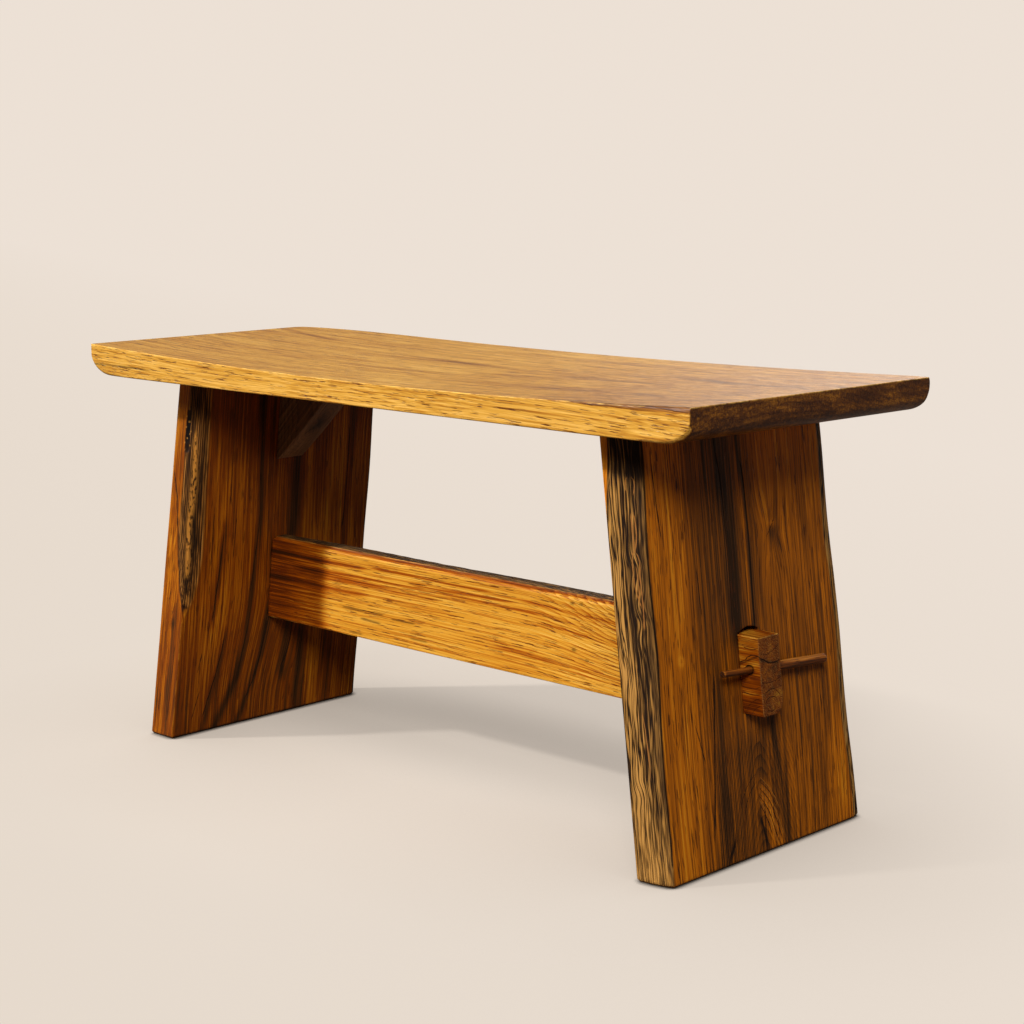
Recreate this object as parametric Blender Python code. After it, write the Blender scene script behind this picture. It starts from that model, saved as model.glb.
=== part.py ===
"""Slab bench: a dished seat on two splayed slab legs with live edges, tied by a pegged stretcher.

Each leg stands under one end of the seat on three blind dowels, with a three-cornered block in the
angle behind it. The stretcher's tenons pass right through the legs, and a tapered peg through each
tenon holds the joint. The pegs pull out towards the back.

Lengths are in metres. +X runs to the right end, +Y to the back and +Z up. The origin is on the
floor, under the middle of the bench.
"""

import math

import bmesh
import bpy
from mathutils import Vector

# Whole bench
seat_height = 0.450
fit_gap = 0.0003
cut_overrun = 0.010
eased_arris = 0.0015
arris_steps = 3
bulge_share = 0.55
crease_angle = math.radians(30)

# Seat slab
seat_thickness = 0.034
seat_half_length = 0.4305
seat_left_flare = 0.0075
seat_right_flare = 0.013
seat_front_depth = 0.1785
seat_left_back_depth = 0.1705
seat_right_back_depth = 0.1745
seat_back_bow = 0.006
seat_front_dish = 0.010
seat_back_dish = 0.007
seat_end_run = 0.031
seat_end_rise_share = 0.54
seat_left_corner_run = 0.170
seat_left_corner_depth = 0.043
seat_right_corner_run = 0.004
seat_right_corner_depth = 0.002
seat_lower_ease = 0.0012
seat_lower_ease_at_left = 0.0015
seat_lower_ease_at_right = 0.0048
seat_lower_ease_run = 0.070
seat_back_roundness = 0.006
seat_end_steps = 7
seat_middle_steps = 18
seat_across_steps = 6

# Slab legs
leg_thickness = 0.038
leg_overhang = 0.0965
leg_splay = 0.051
foot_ease = 0.003
foot_inset = 0.002
corner_steps = 5
leg_levels = 12
wave_height_share = 0.16
wave_length_share = 0.435
wave_start_shares = {
    "left_patch": 0.4, "left_back": 0.15, "right_front": 0.1, "right_back": 0.6, "stretcher": 0.3,
}

# Left leg: planed front edge with a patch of wane at the top of its inner corner
left_foot_front = 0.1455
left_foot_back = 0.139
left_top_front = 0.1295
left_top_back = 0.1375
left_patch_in_share = 0.55
left_patch_along = 0.019
left_patch_start_share = 0.36
left_patch_full_share = 0.72
left_back_wane_in = 0.012
left_back_wane_along = 0.0055

# Right leg: wane down the whole front edge and along the outer back corner
right_foot_front = 0.1415
right_foot_back = 0.1645
right_top_front = 0.1415
right_top_back = 0.1485
right_wane_foot_along = 0.007
right_wane_top_along = 0.013
right_planed_at_top = 0.0085
right_planed_below = 0.0025
right_planed_end_share = 0.77
right_back_wane_in = 0.005
right_back_wane_foot_along = 0.0147
right_back_wane_top_along = 0.0147

# Stretcher and its through tenons
stretcher_centre = 0.004
stretcher_thickness = 0.035
stretcher_bottom = 0.1255
stretcher_height = 0.0965
stretcher_wane_along = 0.017
stretcher_wane_drop_left = 0.009
stretcher_wane_drop_right = 0.003
stretcher_steps = 10
tenon_thickness = 0.032
tenon_shoulder_top = 0.0085
tenon_shoulder_bottom = 0.0130
tenon_reach = 0.0235
tenon_ease = 0.001
tenon_worn_corner = 0.013
worn_corner_share = 0.8
mortise_head_gap = 0.0015
mortise_arch = 0.0042
mortise_arch_steps = 8

# Tapered pegs, thick end at the back
peg_length = 0.164
peg_before_tenon = 0.0424
peg_front_radius = 0.0032
peg_back_radius = 0.0050
peg_tip_ease = 0.0012
peg_butt_ease = 0.0035
peg_out_share = 0.447
peg_up_share = 0.577
peg_drop = 0.0126
peg_sides = 14

# Corner blocks between the legs and the seat
block_width = 0.037
block_along_seat = 0.097
block_down_leg = 0.101
block_blunt_tip = 0.003

# Blind dowels in the legs' top ends
dowel_radius = 0.005
dowel_into_leg = 0.034
dowel_into_seat_share = 0.55
dowel_end_room = 0.002
dowel_chamfer = 0.0015
dowel_row_shares = (-0.62, 0.0, 0.62)
dowel_sides = 16

# Levels and faces that several pieces share
seat_underside = seat_height - seat_thickness
leg_height = seat_underside - fit_gap
leg_foot_reach = seat_half_length - leg_overhang + leg_splay
splay_per_rise = leg_splay / seat_underside
leg_level_thickness = leg_thickness / math.cos(math.atan(splay_per_rise))
tenon_bottom = stretcher_bottom + tenon_shoulder_bottom
tenon_top = stretcher_bottom + stretcher_height - tenon_shoulder_top
peg_tilt = math.asin(peg_drop / peg_length)


def outer_face(z):
    """How far the legs' outer faces lie from the middle of the bench at a height."""
    return leg_foot_reach - splay_per_rise * z


def inner_face(z):
    return outer_face(z) - leg_level_thickness


def mix(a, b, share):
    return a + (b - a) * share


def rise_share(value, start, full):
    """A share that climbs smoothly from 0 at start to 1 at full."""
    share = min(1.0, max(0.0, (value - start) / (full - start)))
    return share * share * (3.0 - 2.0 * share)


# The scene, its parent empty and its finishes

for old in list(bpy.data.objects):
    bpy.data.objects.remove(old)

bench = bpy.data.objects.new("bench", None)
bpy.context.scene.collection.objects.link(bench)


def finish(name, colour, roughness):
    material = bpy.data.materials.new(name)
    material.use_nodes = True
    shader = material.node_tree.nodes["Principled BSDF"]
    shader.inputs["Base Color"].default_value = (*colour, 1.0)
    shader.inputs["Roughness"].default_value = roughness
    shader.inputs["Metallic"].default_value = 0.0
    return material


def add_piece(name, mesh_work, origin, material):
    """Makes a named object from a bmesh in world places, with its origin at the given point."""
    bmesh.ops.recalc_face_normals(mesh_work, faces=mesh_work.faces)
    bmesh.ops.translate(mesh_work, vec=-Vector(origin), verts=mesh_work.verts)
    mesh = bpy.data.meshes.new(name)
    mesh_work.to_mesh(mesh)
    mesh_work.free()
    piece = bpy.data.objects.new(name, mesh)
    piece.location = origin
    piece.parent = bench
    bpy.context.scene.collection.objects.link(piece)
    if material:
        mesh.materials.append(material)
        mesh.shade_smooth()
        mesh.set_sharp_from_angle(angle=crease_angle)
    return piece


def loft(rings):
    """A closed skin over rings of equally many points, with a face on each end ring."""
    skin = bmesh.new()
    rows = [[skin.verts.new(point) for point in ring] for ring in rings]
    for row, after in zip(rows, rows[1:]):
        for k in range(len(row)):
            n = (k + 1) % len(row)
            skin.faces.new((row[k], row[n], after[n], after[k]))
    skin.faces.new(rows[0])
    skin.faces.new(rows[-1])
    return skin


def worn_corner(corner, towards_first, towards_second, steps=corner_steps):
    """Points that cut off a corner, from one reach along its first side to one along its second.

    A bulge share of 0 gives a flat cut and 1 a curve that runs smoothly into both sides.
    """
    corner = Vector(corner)
    first = corner + Vector(towards_first)
    second = corner + Vector(towards_second)
    pull = (first + second).lerp(corner * 2.0, bulge_share) / 2.0
    points = []
    for k in range(steps):
        t = k / (steps - 1)
        points.append(first * (1 - t) ** 2 + pull * (2 * t * (1 - t)) + second * t ** 2)
    return points


def cut_with(piece, name, cutter_work):
    """Cuts a hidden wire cutter out of a piece."""
    cutter = add_piece(name, cutter_work, (0.0, 0.0, 0.0), None)
    cutter.hide_render = True
    cutter.display_type = "WIRE"
    cut = piece.modifiers.new(name, "BOOLEAN")
    cut.operation = "DIFFERENCE"
    cut.solver = "EXACT"
    cut.object = cutter


def turned(profile, start, direction, sides):
    """A round piece about an axis; the profile lists (distance along the axis, radius)."""
    along = Vector(direction).normalized()
    side = along.orthogonal().normalized()
    other = along.cross(side)
    rings = []
    for distance, radius in profile:
        ring = []
        for k in range(sides):
            turn = math.tau * k / sides
            spoke = side * math.cos(turn) + other * math.sin(turn)
            ring.append(Vector(start) + along * distance + spoke * radius)
        rings.append(ring)
    return loft(rings)


# Dowels
# Three stand upright in each leg's top end, half way through its thickness. They set the blind
# holes in the legs and in the seat.

dowel_finish = finish("dowel_beech", (0.66, 0.47, 0.28), 0.6)
dowel_bottom = leg_height - dowel_into_leg
dowel_top = seat_underside + (seat_thickness - seat_front_dish) * dowel_into_seat_share
dowel_reach = outer_face(mix(dowel_bottom, leg_height, 0.5)) - leg_level_thickness / 2
leg_rows = {
    "left": (-1, left_top_front, left_top_back),
    "right": (1, right_top_front, right_top_back),
}


def dowel_places(side_name):
    side, front, back = leg_rows[side_name]
    middle = (back - front) / 2
    half_width = (back + front) / 2
    return [(side * dowel_reach, middle + half_width * share) for share in dowel_row_shares]


def dowel_hole_cutter(places, bottom, top):
    """Round cutters for a row of dowel holes, joined as one cutter."""
    holes = bmesh.new()
    for x, y in places:
        radius = dowel_radius + fit_gap
        hole = turned([(0.0, radius), (top - bottom, radius)], (x, y, bottom), (0, 0, 1), dowel_sides)
        mesh = bpy.data.meshes.new("dowel_hole")
        hole.to_mesh(mesh)
        hole.free()
        holes.from_mesh(mesh)
        bpy.data.meshes.remove(mesh)
    return holes


for side_name in leg_rows:
    for number, (x, y) in enumerate(dowel_places(side_name), start=1):
        length = dowel_top - dowel_bottom
        body = turned(
            [
                (0.0, dowel_radius - dowel_chamfer),
                (dowel_chamfer, dowel_radius),
                (length - dowel_chamfer, dowel_radius),
                (length, dowel_radius - dowel_chamfer),
            ],
            (x, y, dowel_bottom), (0, 0, 1), dowel_sides,
        )
        add_piece(f"dowel_{side_name}_{number}", body, (x, y, dowel_bottom), dowel_finish)


# Seat
# One slab, hollowed along its length, with its ends rounded under, its back left corner swept
# away and its lower front arris eased more and more towards the ends.

def seat_end(side, y):
    """How far an end of the seat lies from the middle on the line at depth y."""
    flare = seat_left_flare if side < 0 else seat_right_flare
    back_depth = seat_left_back_depth if side < 0 else seat_right_back_depth
    return seat_half_length + flare * (y + seat_front_depth) / (back_depth + seat_front_depth)


def swept(distance, run, depth):
    """How far an elliptic plan corner draws the edge in, at a distance from the end."""
    share = 1.0 - min(1.0, distance / run)
    return depth * (1.0 - math.sqrt(1.0 - share * share))


def seat_back(x):
    from_left = max(0.0, seat_half_length + seat_left_flare + x)
    from_right = max(0.0, seat_half_length + seat_right_flare - x)
    share = from_left / (from_left + from_right)
    line = mix(seat_left_back_depth, seat_right_back_depth, share)
    line += seat_back_bow * (1.0 - (2.0 * share - 1.0) ** 2)
    line -= swept(from_left, seat_left_corner_run, seat_left_corner_depth)
    line -= swept(from_right, seat_right_corner_run, seat_right_corner_depth)
    return line


def seat_top(x, y):
    depth_share = (y + seat_front_depth) / (seat_left_back_depth + seat_front_depth)
    dish = mix(seat_front_dish, seat_back_dish, depth_share)
    length_share = min(1.0, abs(x) / seat_half_length)
    return seat_height - dish * (1.0 - length_share ** 2)


def seat_bottom(distance):
    """Height of the underside at a distance from the end."""
    share = 1.0 - min(1.0, distance / seat_end_run)
    rise = seat_thickness * seat_end_rise_share
    return seat_underside + rise * (1.0 - math.sqrt(1.0 - share * share))


def lower_ease(x):
    """How far the lower front arris is taken off."""
    side = math.copysign(1, x)
    at_end = seat_lower_ease_at_left if side < 0 else seat_lower_ease_at_right
    share = 1.0 - min(1.0, (seat_end(side, 0.0) - abs(x)) / seat_lower_ease_run)
    return mix(seat_lower_ease, at_end, share * share)


def seat_ring(side, distance, share):
    """The slab's outline across its depth, near an end or, where share is given, between them."""
    def length_place(y):
        if share is None:
            return side * (seat_end(side, y) - distance)
        return mix(seat_end_run - seat_end(-1, y), seat_end(1, y) - seat_end_run, share)

    def on_top(y):
        x = length_place(y)
        return Vector((x, y, seat_top(x, y)))

    def at_height(y, z):
        return Vector((length_place(y), y, z))

    bottom = seat_underside if share is not None else seat_bottom(distance)
    back = seat_back(length_place(seat_left_back_depth))
    ease = lower_ease(length_place(0.0))
    top_row = [
        mix(-seat_front_depth, back - seat_back_roundness / 2, k / seat_across_steps)
        for k in range(seat_across_steps + 1)
    ]
    bottom_row = [
        mix(back - seat_back_roundness, -seat_front_depth + ease, k / seat_across_steps)
        for k in range(seat_across_steps + 1)
    ]
    ring = [on_top(y) for y in top_row]
    ring.append(at_height(back, mix(bottom, on_top(back).z, 0.5)))
    ring.extend(at_height(y, bottom) for y in bottom_row)
    ring.append(at_height(-seat_front_depth, bottom + ease))
    return ring


seat_rings = []
for k in range(seat_end_steps):
    distance = seat_end_run * (1.0 - math.cos(math.pi / 2 * k / seat_end_steps))
    seat_rings.append(seat_ring(-1, distance, None))
for k in range(seat_middle_steps + 1):
    seat_rings.append(seat_ring(1, seat_end_run, k / seat_middle_steps))
for k in reversed(range(seat_end_steps)):
    distance = seat_end_run * (1.0 - math.cos(math.pi / 2 * k / seat_end_steps))
    seat_rings.append(seat_ring(1, distance, None))

seat = add_piece(
    "seat", loft(seat_rings), (0.0, 0.0, seat_underside), finish("seat_wood", (0.60, 0.32, 0.10), 0.35)
)
cut_with(seat, "seat_dowel_holes", dowel_hole_cutter(
    dowel_places("left") + dowel_places("right"),
    seat_underside - cut_overrun, dowel_top + dowel_end_room,
))


# Legs
# Two splayed slabs, wider at the foot. Each is a loft of level outlines whose corners carry the
# wane, so the live edges wander as they climb.

def leg_ring(side, z, front, back, corners, inset):
    """A leg's level outline. corners gives each corner's (reach in, reach along), outer front first."""
    outer = side * (outer_face(z) - inset)
    inner = side * (inner_face(z) + inset)
    near = -front + inset
    far = back - inset
    into = -side
    (of_in, of_along), (ob_in, ob_along), (ib_in, ib_along), (if_in, if_along) = corners
    ring = worn_corner((outer, near, z), (into * of_in, 0, 0), (0, of_along, 0))
    ring += worn_corner((outer, far, z), (0, -ob_along, 0), (into * ob_in, 0, 0))
    ring += worn_corner((inner, far, z), (-into * ib_in, 0, 0), (0, -ib_along, 0))
    ring += worn_corner((inner, near, z), (0, if_along, 0), (-into * if_in, 0, 0))
    return ring


def wave(share, edge):
    """A slow swell along a live edge, about 1."""
    turns = share / wave_length_share + wave_start_shares[edge]
    return 1.0 + wave_height_share * math.sin(math.tau * turns)


def left_corners(share, z):
    patch = rise_share(z, leg_height * left_patch_start_share, leg_height * left_patch_full_share)
    patch_in = leg_level_thickness * left_patch_in_share * wave(share, "left_patch")
    plain = (eased_arris, eased_arris)
    back = wave(share, "left_back")
    return (
        plain,
        plain,
        (left_back_wane_in * back, left_back_wane_along * back),
        (mix(eased_arris, patch_in, patch), mix(eased_arris, left_patch_along, patch)),
    )


def right_corners(share, z):
    plain = (eased_arris, eased_arris)
    above = rise_share(z, leg_height * right_planed_end_share, leg_height)
    planed = mix(right_planed_below, right_planed_at_top, above)
    along = mix(right_wane_foot_along, right_wane_top_along, share)
    back = wave(share, "right_back")
    back_along = mix(right_back_wane_foot_along, right_back_wane_top_along, share)
    return (
        (leg_level_thickness - planed, along * wave(share, "right_front")),
        (right_back_wane_in * back, back_along * back),
        plain,
        plain,
    )


def slab_leg(name, side, foot, top, corners_at, material):
    rings = []
    heights = [0.0, foot_ease] + [leg_height * k / leg_levels for k in range(1, leg_levels + 1)]
    for z in heights:
        climbed = z / leg_height
        front = mix(foot[0], top[0], climbed)
        back = mix(foot[1], top[1], climbed)
        inset = foot_inset if z == 0.0 else 0.0
        rings.append(leg_ring(side, z, front, back, corners_at(climbed, z), inset))
    return add_piece(name, loft(rings), (side * leg_foot_reach, 0.0, 0.0), material)


def mortise_cutter(side):
    """A level through mortise with a low arch over the tenon."""
    near = stretcher_centre - tenon_thickness / 2 - fit_gap
    far = stretcher_centre + tenon_thickness / 2 + fit_gap
    spring = tenon_top + mortise_head_gap
    outline = [(near, tenon_bottom - fit_gap), (far, tenon_bottom - fit_gap)]
    for k in range(mortise_arch_steps + 1):
        share = k / mortise_arch_steps
        outline.append((mix(far, near, share), spring + mortise_arch * math.sin(math.pi * share)))
    ends = (
        side * (inner_face(tenon_top) - cut_overrun),
        side * (outer_face(tenon_bottom) + cut_overrun),
    )
    return loft([[Vector((x, y, z)) for y, z in outline] for x in ends])


left_leg = slab_leg(
    "leg_left", -1, (left_foot_front, left_foot_back), (left_top_front, left_top_back),
    left_corners, finish("left_leg_wood", (0.22, 0.08, 0.025), 0.45),
)
right_leg = slab_leg(
    "leg_right", 1, (right_foot_front, right_foot_back), (right_top_front, right_top_back),
    right_corners, finish("right_leg_wood", (0.33, 0.14, 0.04), 0.45),
)
for side_name, leg in (("left", left_leg), ("right", right_leg)):
    cut_with(leg, f"mortise_{side_name}", mortise_cutter(leg_rows[side_name][0]))
    cut_with(leg, f"leg_dowel_holes_{side_name}", dowel_hole_cutter(
        dowel_places(side_name), dowel_bottom - dowel_end_room, leg_height + cut_overrun,
    ))


# Stretcher
# A board on edge. Its shoulders and the tenons' ends follow the splay of the legs.

def stretcher_ring(face, offset, side, near, far, bottom, top, corners):
    """An outline on a plane parallel to a leg's face, moved outwards by offset."""
    def on_plane(point):
        return Vector((side * (face(point.z) + offset), point.y, point.z))

    (nb, nt, ft, fb) = corners
    ring = worn_corner((0, near, bottom), (0, nb[1], 0), (0, 0, nb[0]), steps=arris_steps)
    ring += worn_corner((0, near, top), (0, 0, -nt[0]), (0, nt[1], 0), steps=arris_steps)
    ring += worn_corner((0, far, top), (0, -ft[1], 0), (0, 0, -ft[0]), steps=arris_steps)
    ring += worn_corner((0, far, bottom), (0, 0, fb[0]), (0, -fb[1], 0), steps=arris_steps)
    return [on_plane(point) for point in ring]


board_near = stretcher_centre - stretcher_thickness / 2
board_far = stretcher_centre + stretcher_thickness / 2
board_top = stretcher_bottom + stretcher_height
tenon_near = stretcher_centre - tenon_thickness / 2
tenon_far = stretcher_centre + tenon_thickness / 2


def board_corners(length_share):
    """The board's corners: near bottom, near top, far top with its wane, and far bottom."""
    drop = mix(stretcher_wane_drop_left, stretcher_wane_drop_right, length_share)
    along = stretcher_wane_along * wave(length_share, "stretcher")
    arris = (eased_arris, eased_arris)
    return (arris, arris, (drop, along), arris)


def tenon_rings(side, length_share):
    """From the tenon's outer end to the board's shoulder."""
    arris = (tenon_ease, tenon_ease)
    worn = (tenon_worn_corner, tenon_worn_corner * worn_corner_share) if side > 0 else arris
    corners = (arris, arris, arris, worn)
    level = (tenon_near, tenon_far, tenon_bottom, tenon_top)
    inside = (
        tenon_near + tenon_ease, tenon_far - tenon_ease,
        tenon_bottom + tenon_ease, tenon_top - tenon_ease,
    )
    inner_arris = (tenon_ease / 2, tenon_ease / 2)
    inner_corners = (inner_arris, inner_arris, inner_arris, worn if side > 0 else inner_arris)
    shoulder = -fit_gap
    return [
        stretcher_ring(outer_face, tenon_reach, side, *inside, inner_corners),
        stretcher_ring(outer_face, tenon_reach - tenon_ease, side, *level, corners),
        stretcher_ring(inner_face, shoulder, side, *level, (arris, arris, arris, arris)),
        stretcher_ring(
            inner_face, shoulder, side, board_near, board_far, stretcher_bottom, board_top,
            board_corners(length_share),
        ),
    ]


stretcher_rings = tenon_rings(-1, 0.0)
for k in range(1, stretcher_steps):
    share = k / stretcher_steps
    x = mix(-inner_face(board_top), inner_face(board_top), share)
    ring = stretcher_ring(
        inner_face, 0.0, 1, board_near, board_far, stretcher_bottom, board_top, board_corners(share)
    )
    stretcher_rings.append([Vector((x, point.y, point.z)) for point in ring])
stretcher_rings += reversed(tenon_rings(1, 1.0))
stretcher = add_piece(
    "stretcher", loft(stretcher_rings), (0.0, stretcher_centre, stretcher_bottom),
    finish("stretcher_wood", (0.60, 0.29, 0.07), 0.4),
)


# Pegs
# A whittled pin lies across each tenon, clear of the leg. Its origin is where its thin end starts,
# and it slides out along its own length.

peg_finish = finish("peg_wood", (0.24, 0.09, 0.035), 0.5)
peg_direction = Vector((0.0, math.cos(peg_tilt), -math.sin(peg_tilt)))
peg_height = mix(tenon_bottom, tenon_top, peg_up_share)


def peg_radius(distance):
    return mix(peg_front_radius, peg_back_radius, distance / peg_length)


tenon_crossing = tenon_thickness / math.cos(peg_tilt)
peg_hole_radius = peg_radius(peg_before_tenon + tenon_crossing) + fit_gap

for side_name, side in (("left", -1), ("right", 1)):
    reach = outer_face(peg_height) + tenon_reach * peg_out_share
    start = Vector((side * reach, tenon_near, peg_height)) - peg_direction * peg_before_tenon
    body = turned(
        [
            (0.0, peg_front_radius - peg_tip_ease),
            (peg_tip_ease, peg_front_radius),
            (peg_length - peg_butt_ease, peg_radius(peg_length - peg_butt_ease)),
            (peg_length, peg_back_radius / 2),
        ],
        start, peg_direction, peg_sides,
    )
    add_piece(f"peg_{side_name}", body, start, peg_finish)
    bore = turned(
        [
            (peg_before_tenon - cut_overrun, peg_hole_radius),
            (peg_before_tenon + tenon_crossing + cut_overrun, peg_hole_radius),
        ],
        start, peg_direction, peg_sides,
    )
    cut_with(stretcher, f"peg_hole_{side_name}", bore)


# Corner blocks
# An offcut is glued into each angle between a leg and the seat, in line with the stretcher.

block_finish = finish("block_wood", (0.16, 0.07, 0.03), 0.5)
block_top = seat_underside - fit_gap
block_foot = block_top - block_down_leg

for side_name, side in (("left", -1), ("right", 1)):
    leg_face_top = inner_face(block_top) - fit_gap
    leg_face_foot = inner_face(block_foot) - fit_gap
    tip = leg_face_top - block_along_seat
    outline = [
        (leg_face_top, block_top),
        (leg_face_foot, block_foot),
        (leg_face_foot - block_blunt_tip, block_foot),
        (tip, block_top - block_blunt_tip),
        (tip, block_top),
    ]
    near = stretcher_centre - block_width / 2
    far = stretcher_centre + block_width / 2
    body = loft([[Vector((side * x, y, z)) for x, z in outline] for y in (near, far)])
    add_piece(f"block_{side_name}", body, (side * leg_face_top, stretcher_centre, block_top), block_finish)
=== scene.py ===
"""The slab bench as it looks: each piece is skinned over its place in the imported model, in its wood."""

import math

import bmesh
import bpy
import numpy as np
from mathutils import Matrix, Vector, noise


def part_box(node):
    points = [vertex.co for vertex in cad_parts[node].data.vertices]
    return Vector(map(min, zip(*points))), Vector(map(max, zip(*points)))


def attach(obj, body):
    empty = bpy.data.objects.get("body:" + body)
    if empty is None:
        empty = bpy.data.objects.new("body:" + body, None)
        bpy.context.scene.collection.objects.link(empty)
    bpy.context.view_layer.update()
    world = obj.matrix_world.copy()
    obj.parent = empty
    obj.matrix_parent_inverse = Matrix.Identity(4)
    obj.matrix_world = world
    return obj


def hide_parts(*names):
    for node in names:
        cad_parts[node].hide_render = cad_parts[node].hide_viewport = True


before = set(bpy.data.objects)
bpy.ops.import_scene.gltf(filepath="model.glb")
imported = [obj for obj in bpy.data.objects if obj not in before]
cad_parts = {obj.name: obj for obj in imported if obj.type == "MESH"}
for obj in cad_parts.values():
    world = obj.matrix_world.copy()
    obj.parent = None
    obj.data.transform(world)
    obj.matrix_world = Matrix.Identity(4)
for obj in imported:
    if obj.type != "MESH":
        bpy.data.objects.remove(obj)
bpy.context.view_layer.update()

# Seat
# One slab of golden hardwood, hollowed along its length for sitting and rubbed with oil. Its ends are
# rounded under, the right one shows dark end grain, and its back left corner follows the plank's edge.

seat_low, seat_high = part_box("seat")
seat_underside = seat_low.z
seat_level = seat_high.z
seat_front = seat_low.y
seat_half_length = 0.4305
seat_left_flare = 0.0075
seat_right_flare = 0.013
seat_left_back = 0.1705
seat_right_back = 0.1745
seat_back_bow = 0.006
seat_front_dish = 0.01
seat_back_dish = 0.007
seat_end_run = 0.031
seat_end_rise = 0.01836
seat_left_corner = (0.17, 0.043)
seat_right_corner = (0.004, 0.002)
seat_back_gap = 0.00003
seat_arris = 0.0008
seat_lip = 0.0052
seat_lip_run = (0.26, 0.43)
seat_front_ease = (0.0012, 0.0048)
seat_back_top_ease = (0.012, 0.003)
seat_back_foot_ease = (0.014, 0.006)
bulge_share = 0.55


def mix(a, b, share):
    """From a at share 0 to b at share 1."""
    return a + (b - a) * share


def eased(value, start, full):
    """Climbs smoothly from 0 at start to 1 at full."""
    share = np.clip((value - start) / (full - start), 0.0, 1.0)
    return share * share * (3.0 - 2.0 * share)


def faded(value, start, gone):
    """Falls smoothly from 1 at start to 0 at gone."""
    return 1.0 - eased(value, start, gone)


def grid_lines(*spans):
    """Grid lines as shares from 0 to 1, from spans of (length, steps) laid end to end."""
    places = [0.0]
    for length, steps in spans:
        start = places[-1]
        places += [start + length * (k + 1) / steps for k in range(steps)]
    return np.array(places) / places[-1]


def ripples(x, y, z, seed):
    """Smooth noise between about -1 and 1, one value for each point."""
    x, y, z = np.broadcast_arrays(x, y, z)
    points = np.stack((x, y, z), -1).reshape(-1, 3) + seed
    return np.array([noise.noise(point) for point in points.tolist()]).reshape(x.shape)


def worn_off(distance, run, depth):
    """How far a worn corner draws a side in, at a distance from the corner along the other side."""
    reach = np.clip(distance / np.maximum(run, 1e-6), 0.0, 1.0)
    flat = 1.0 - bulge_share
    s = (np.sqrt(flat * flat + 4.0 * bulge_share * reach) - flat) / (2.0 * bulge_share)
    t = 1.0 - s
    return depth * (t * t + flat * t * s)


def new_piece(name, points, faces):
    mesh = bpy.data.meshes.new(name)
    mesh.from_pydata(points, [], faces)
    piece = bpy.data.objects.new(name, mesh)
    bpy.context.scene.collection.objects.link(piece)
    return piece


def note(piece, name, values):
    """Stores a number, or three, on each point of a piece for its wood to read."""
    values = np.stack(np.broadcast_arrays(*values)) if isinstance(values, (list, tuple)) else values
    kind, field = ("FLOAT_VECTOR", "vector") if values.ndim == 2 else ("FLOAT", "value")
    attribute = piece.data.attributes.get(name) or piece.data.attributes.new(name, kind, "POINT")
    attribute.data.foreach_set(field, np.ascontiguousarray(values.T, np.float32).ravel())


def block_skin(name, across, deep, high, place):
    """A closed skin of six gridded sides, with its arrises rounded over the first grid step.

    across, deep and high are grid lines as shares, and place turns arrays of shares into points.
    """
    lines = (across, deep, high)
    counts = tuple(len(line) for line in lines)
    steps = np.meshgrid(*(np.arange(n) for n in counts), indexing="ij")
    at_side = [(a == 0) | (a == n - 1) for a, n in zip(steps, counts)]
    on_skin = at_side[0] | at_side[1] | at_side[2]
    index = np.full(counts, -1)
    index[on_skin] = np.arange(on_skin.sum())
    steps = [a[on_skin] for a in steps]

    def at(chosen, some):
        return np.stack(place(*(line[a[some]] for line, a in zip(lines, chosen))), -1)

    points = at(steps, slice(None))
    sides_met = sum(side[on_skin].astype(int) for side in at_side)
    arris = np.flatnonzero(sides_met > 1)
    pull = np.zeros((len(arris), 3))
    for axis in range(3):
        inward = list(steps)
        inward[axis] = np.clip(steps[axis], 1, counts[axis] - 2)
        pull += at(inward, arris) - points[arris]
    share = np.where(sides_met[arris] == 2, 1.0 - math.sqrt(1 / 2), 1.0 - math.sqrt(1 / 3))
    points[arris] += pull * share[:, None]

    quads = []
    for axis in range(3):
        for end in (0, counts[axis] - 1):
            sheet = np.take(index, end, axis=axis)
            corners = (sheet[:-1, :-1], sheet[1:, :-1], sheet[1:, 1:], sheet[:-1, 1:])
            if (end > 0) == (axis == 1):
                corners = corners[::-1]
            quads.append(np.stack(corners, -1).reshape(-1, 4))
    piece = new_piece(name, points.tolist(), np.concatenate(quads).tolist())
    piece.data.shade_smooth()
    note(piece, "arris", (sides_met > 1).astype(float))
    return piece


def points_of(piece):
    """The piece's points as three arrays."""
    places = np.empty(len(piece.data.vertices) * 3, np.float32)
    piece.data.vertices.foreach_get("co", places)
    return places.reshape(-1, 3).astype(float).T


def strand(along, across, line, fade):
    """How near each point lies to a drawn line of (along, across, half width), from 0 to 1."""
    line = sorted(line)
    places = [point[0] for point in line]
    middle = np.interp(along, places, [point[1] for point in line])
    half = np.interp(along, places, [point[2] for point in line])
    begun = eased(along, places[0] - fade, places[0])
    ended = eased(along, places[-1], places[-1] + fade)
    return begun * (1.0 - ended) * np.exp(-((across - middle) / half) ** 2)


def veins(along, across, lines, fade):
    """Drawn strands together, each given by how much darker than the wood it is, and its points."""
    return sum(depth * strand(along, across, line, fade) for depth, *line in lines)


def add_node(tree, kind, inputs=(), **settings):
    """A shader node with its settings, and with its inputs linked or set."""
    made = tree.nodes.new("ShaderNode" + kind)
    for name, value in settings.items():
        setattr(made, name, value)
    for key, value in dict(inputs).items():
        if isinstance(value, bpy.types.NodeSocket):
            tree.links.new(value, made.inputs[key])
        else:
            made.inputs[key].default_value = value
    return made


def tree_of(*values):
    """The node tree that the sockets among some values belong to."""
    return next(value.id_data for value in values if isinstance(value, bpy.types.NodeSocket))


def reckon(operation, *values):
    return add_node(tree_of(*values), "Math", enumerate(values), operation=operation).outputs[0]


def times(a, b):
    return reckon("MULTIPLY", a, b)


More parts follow.
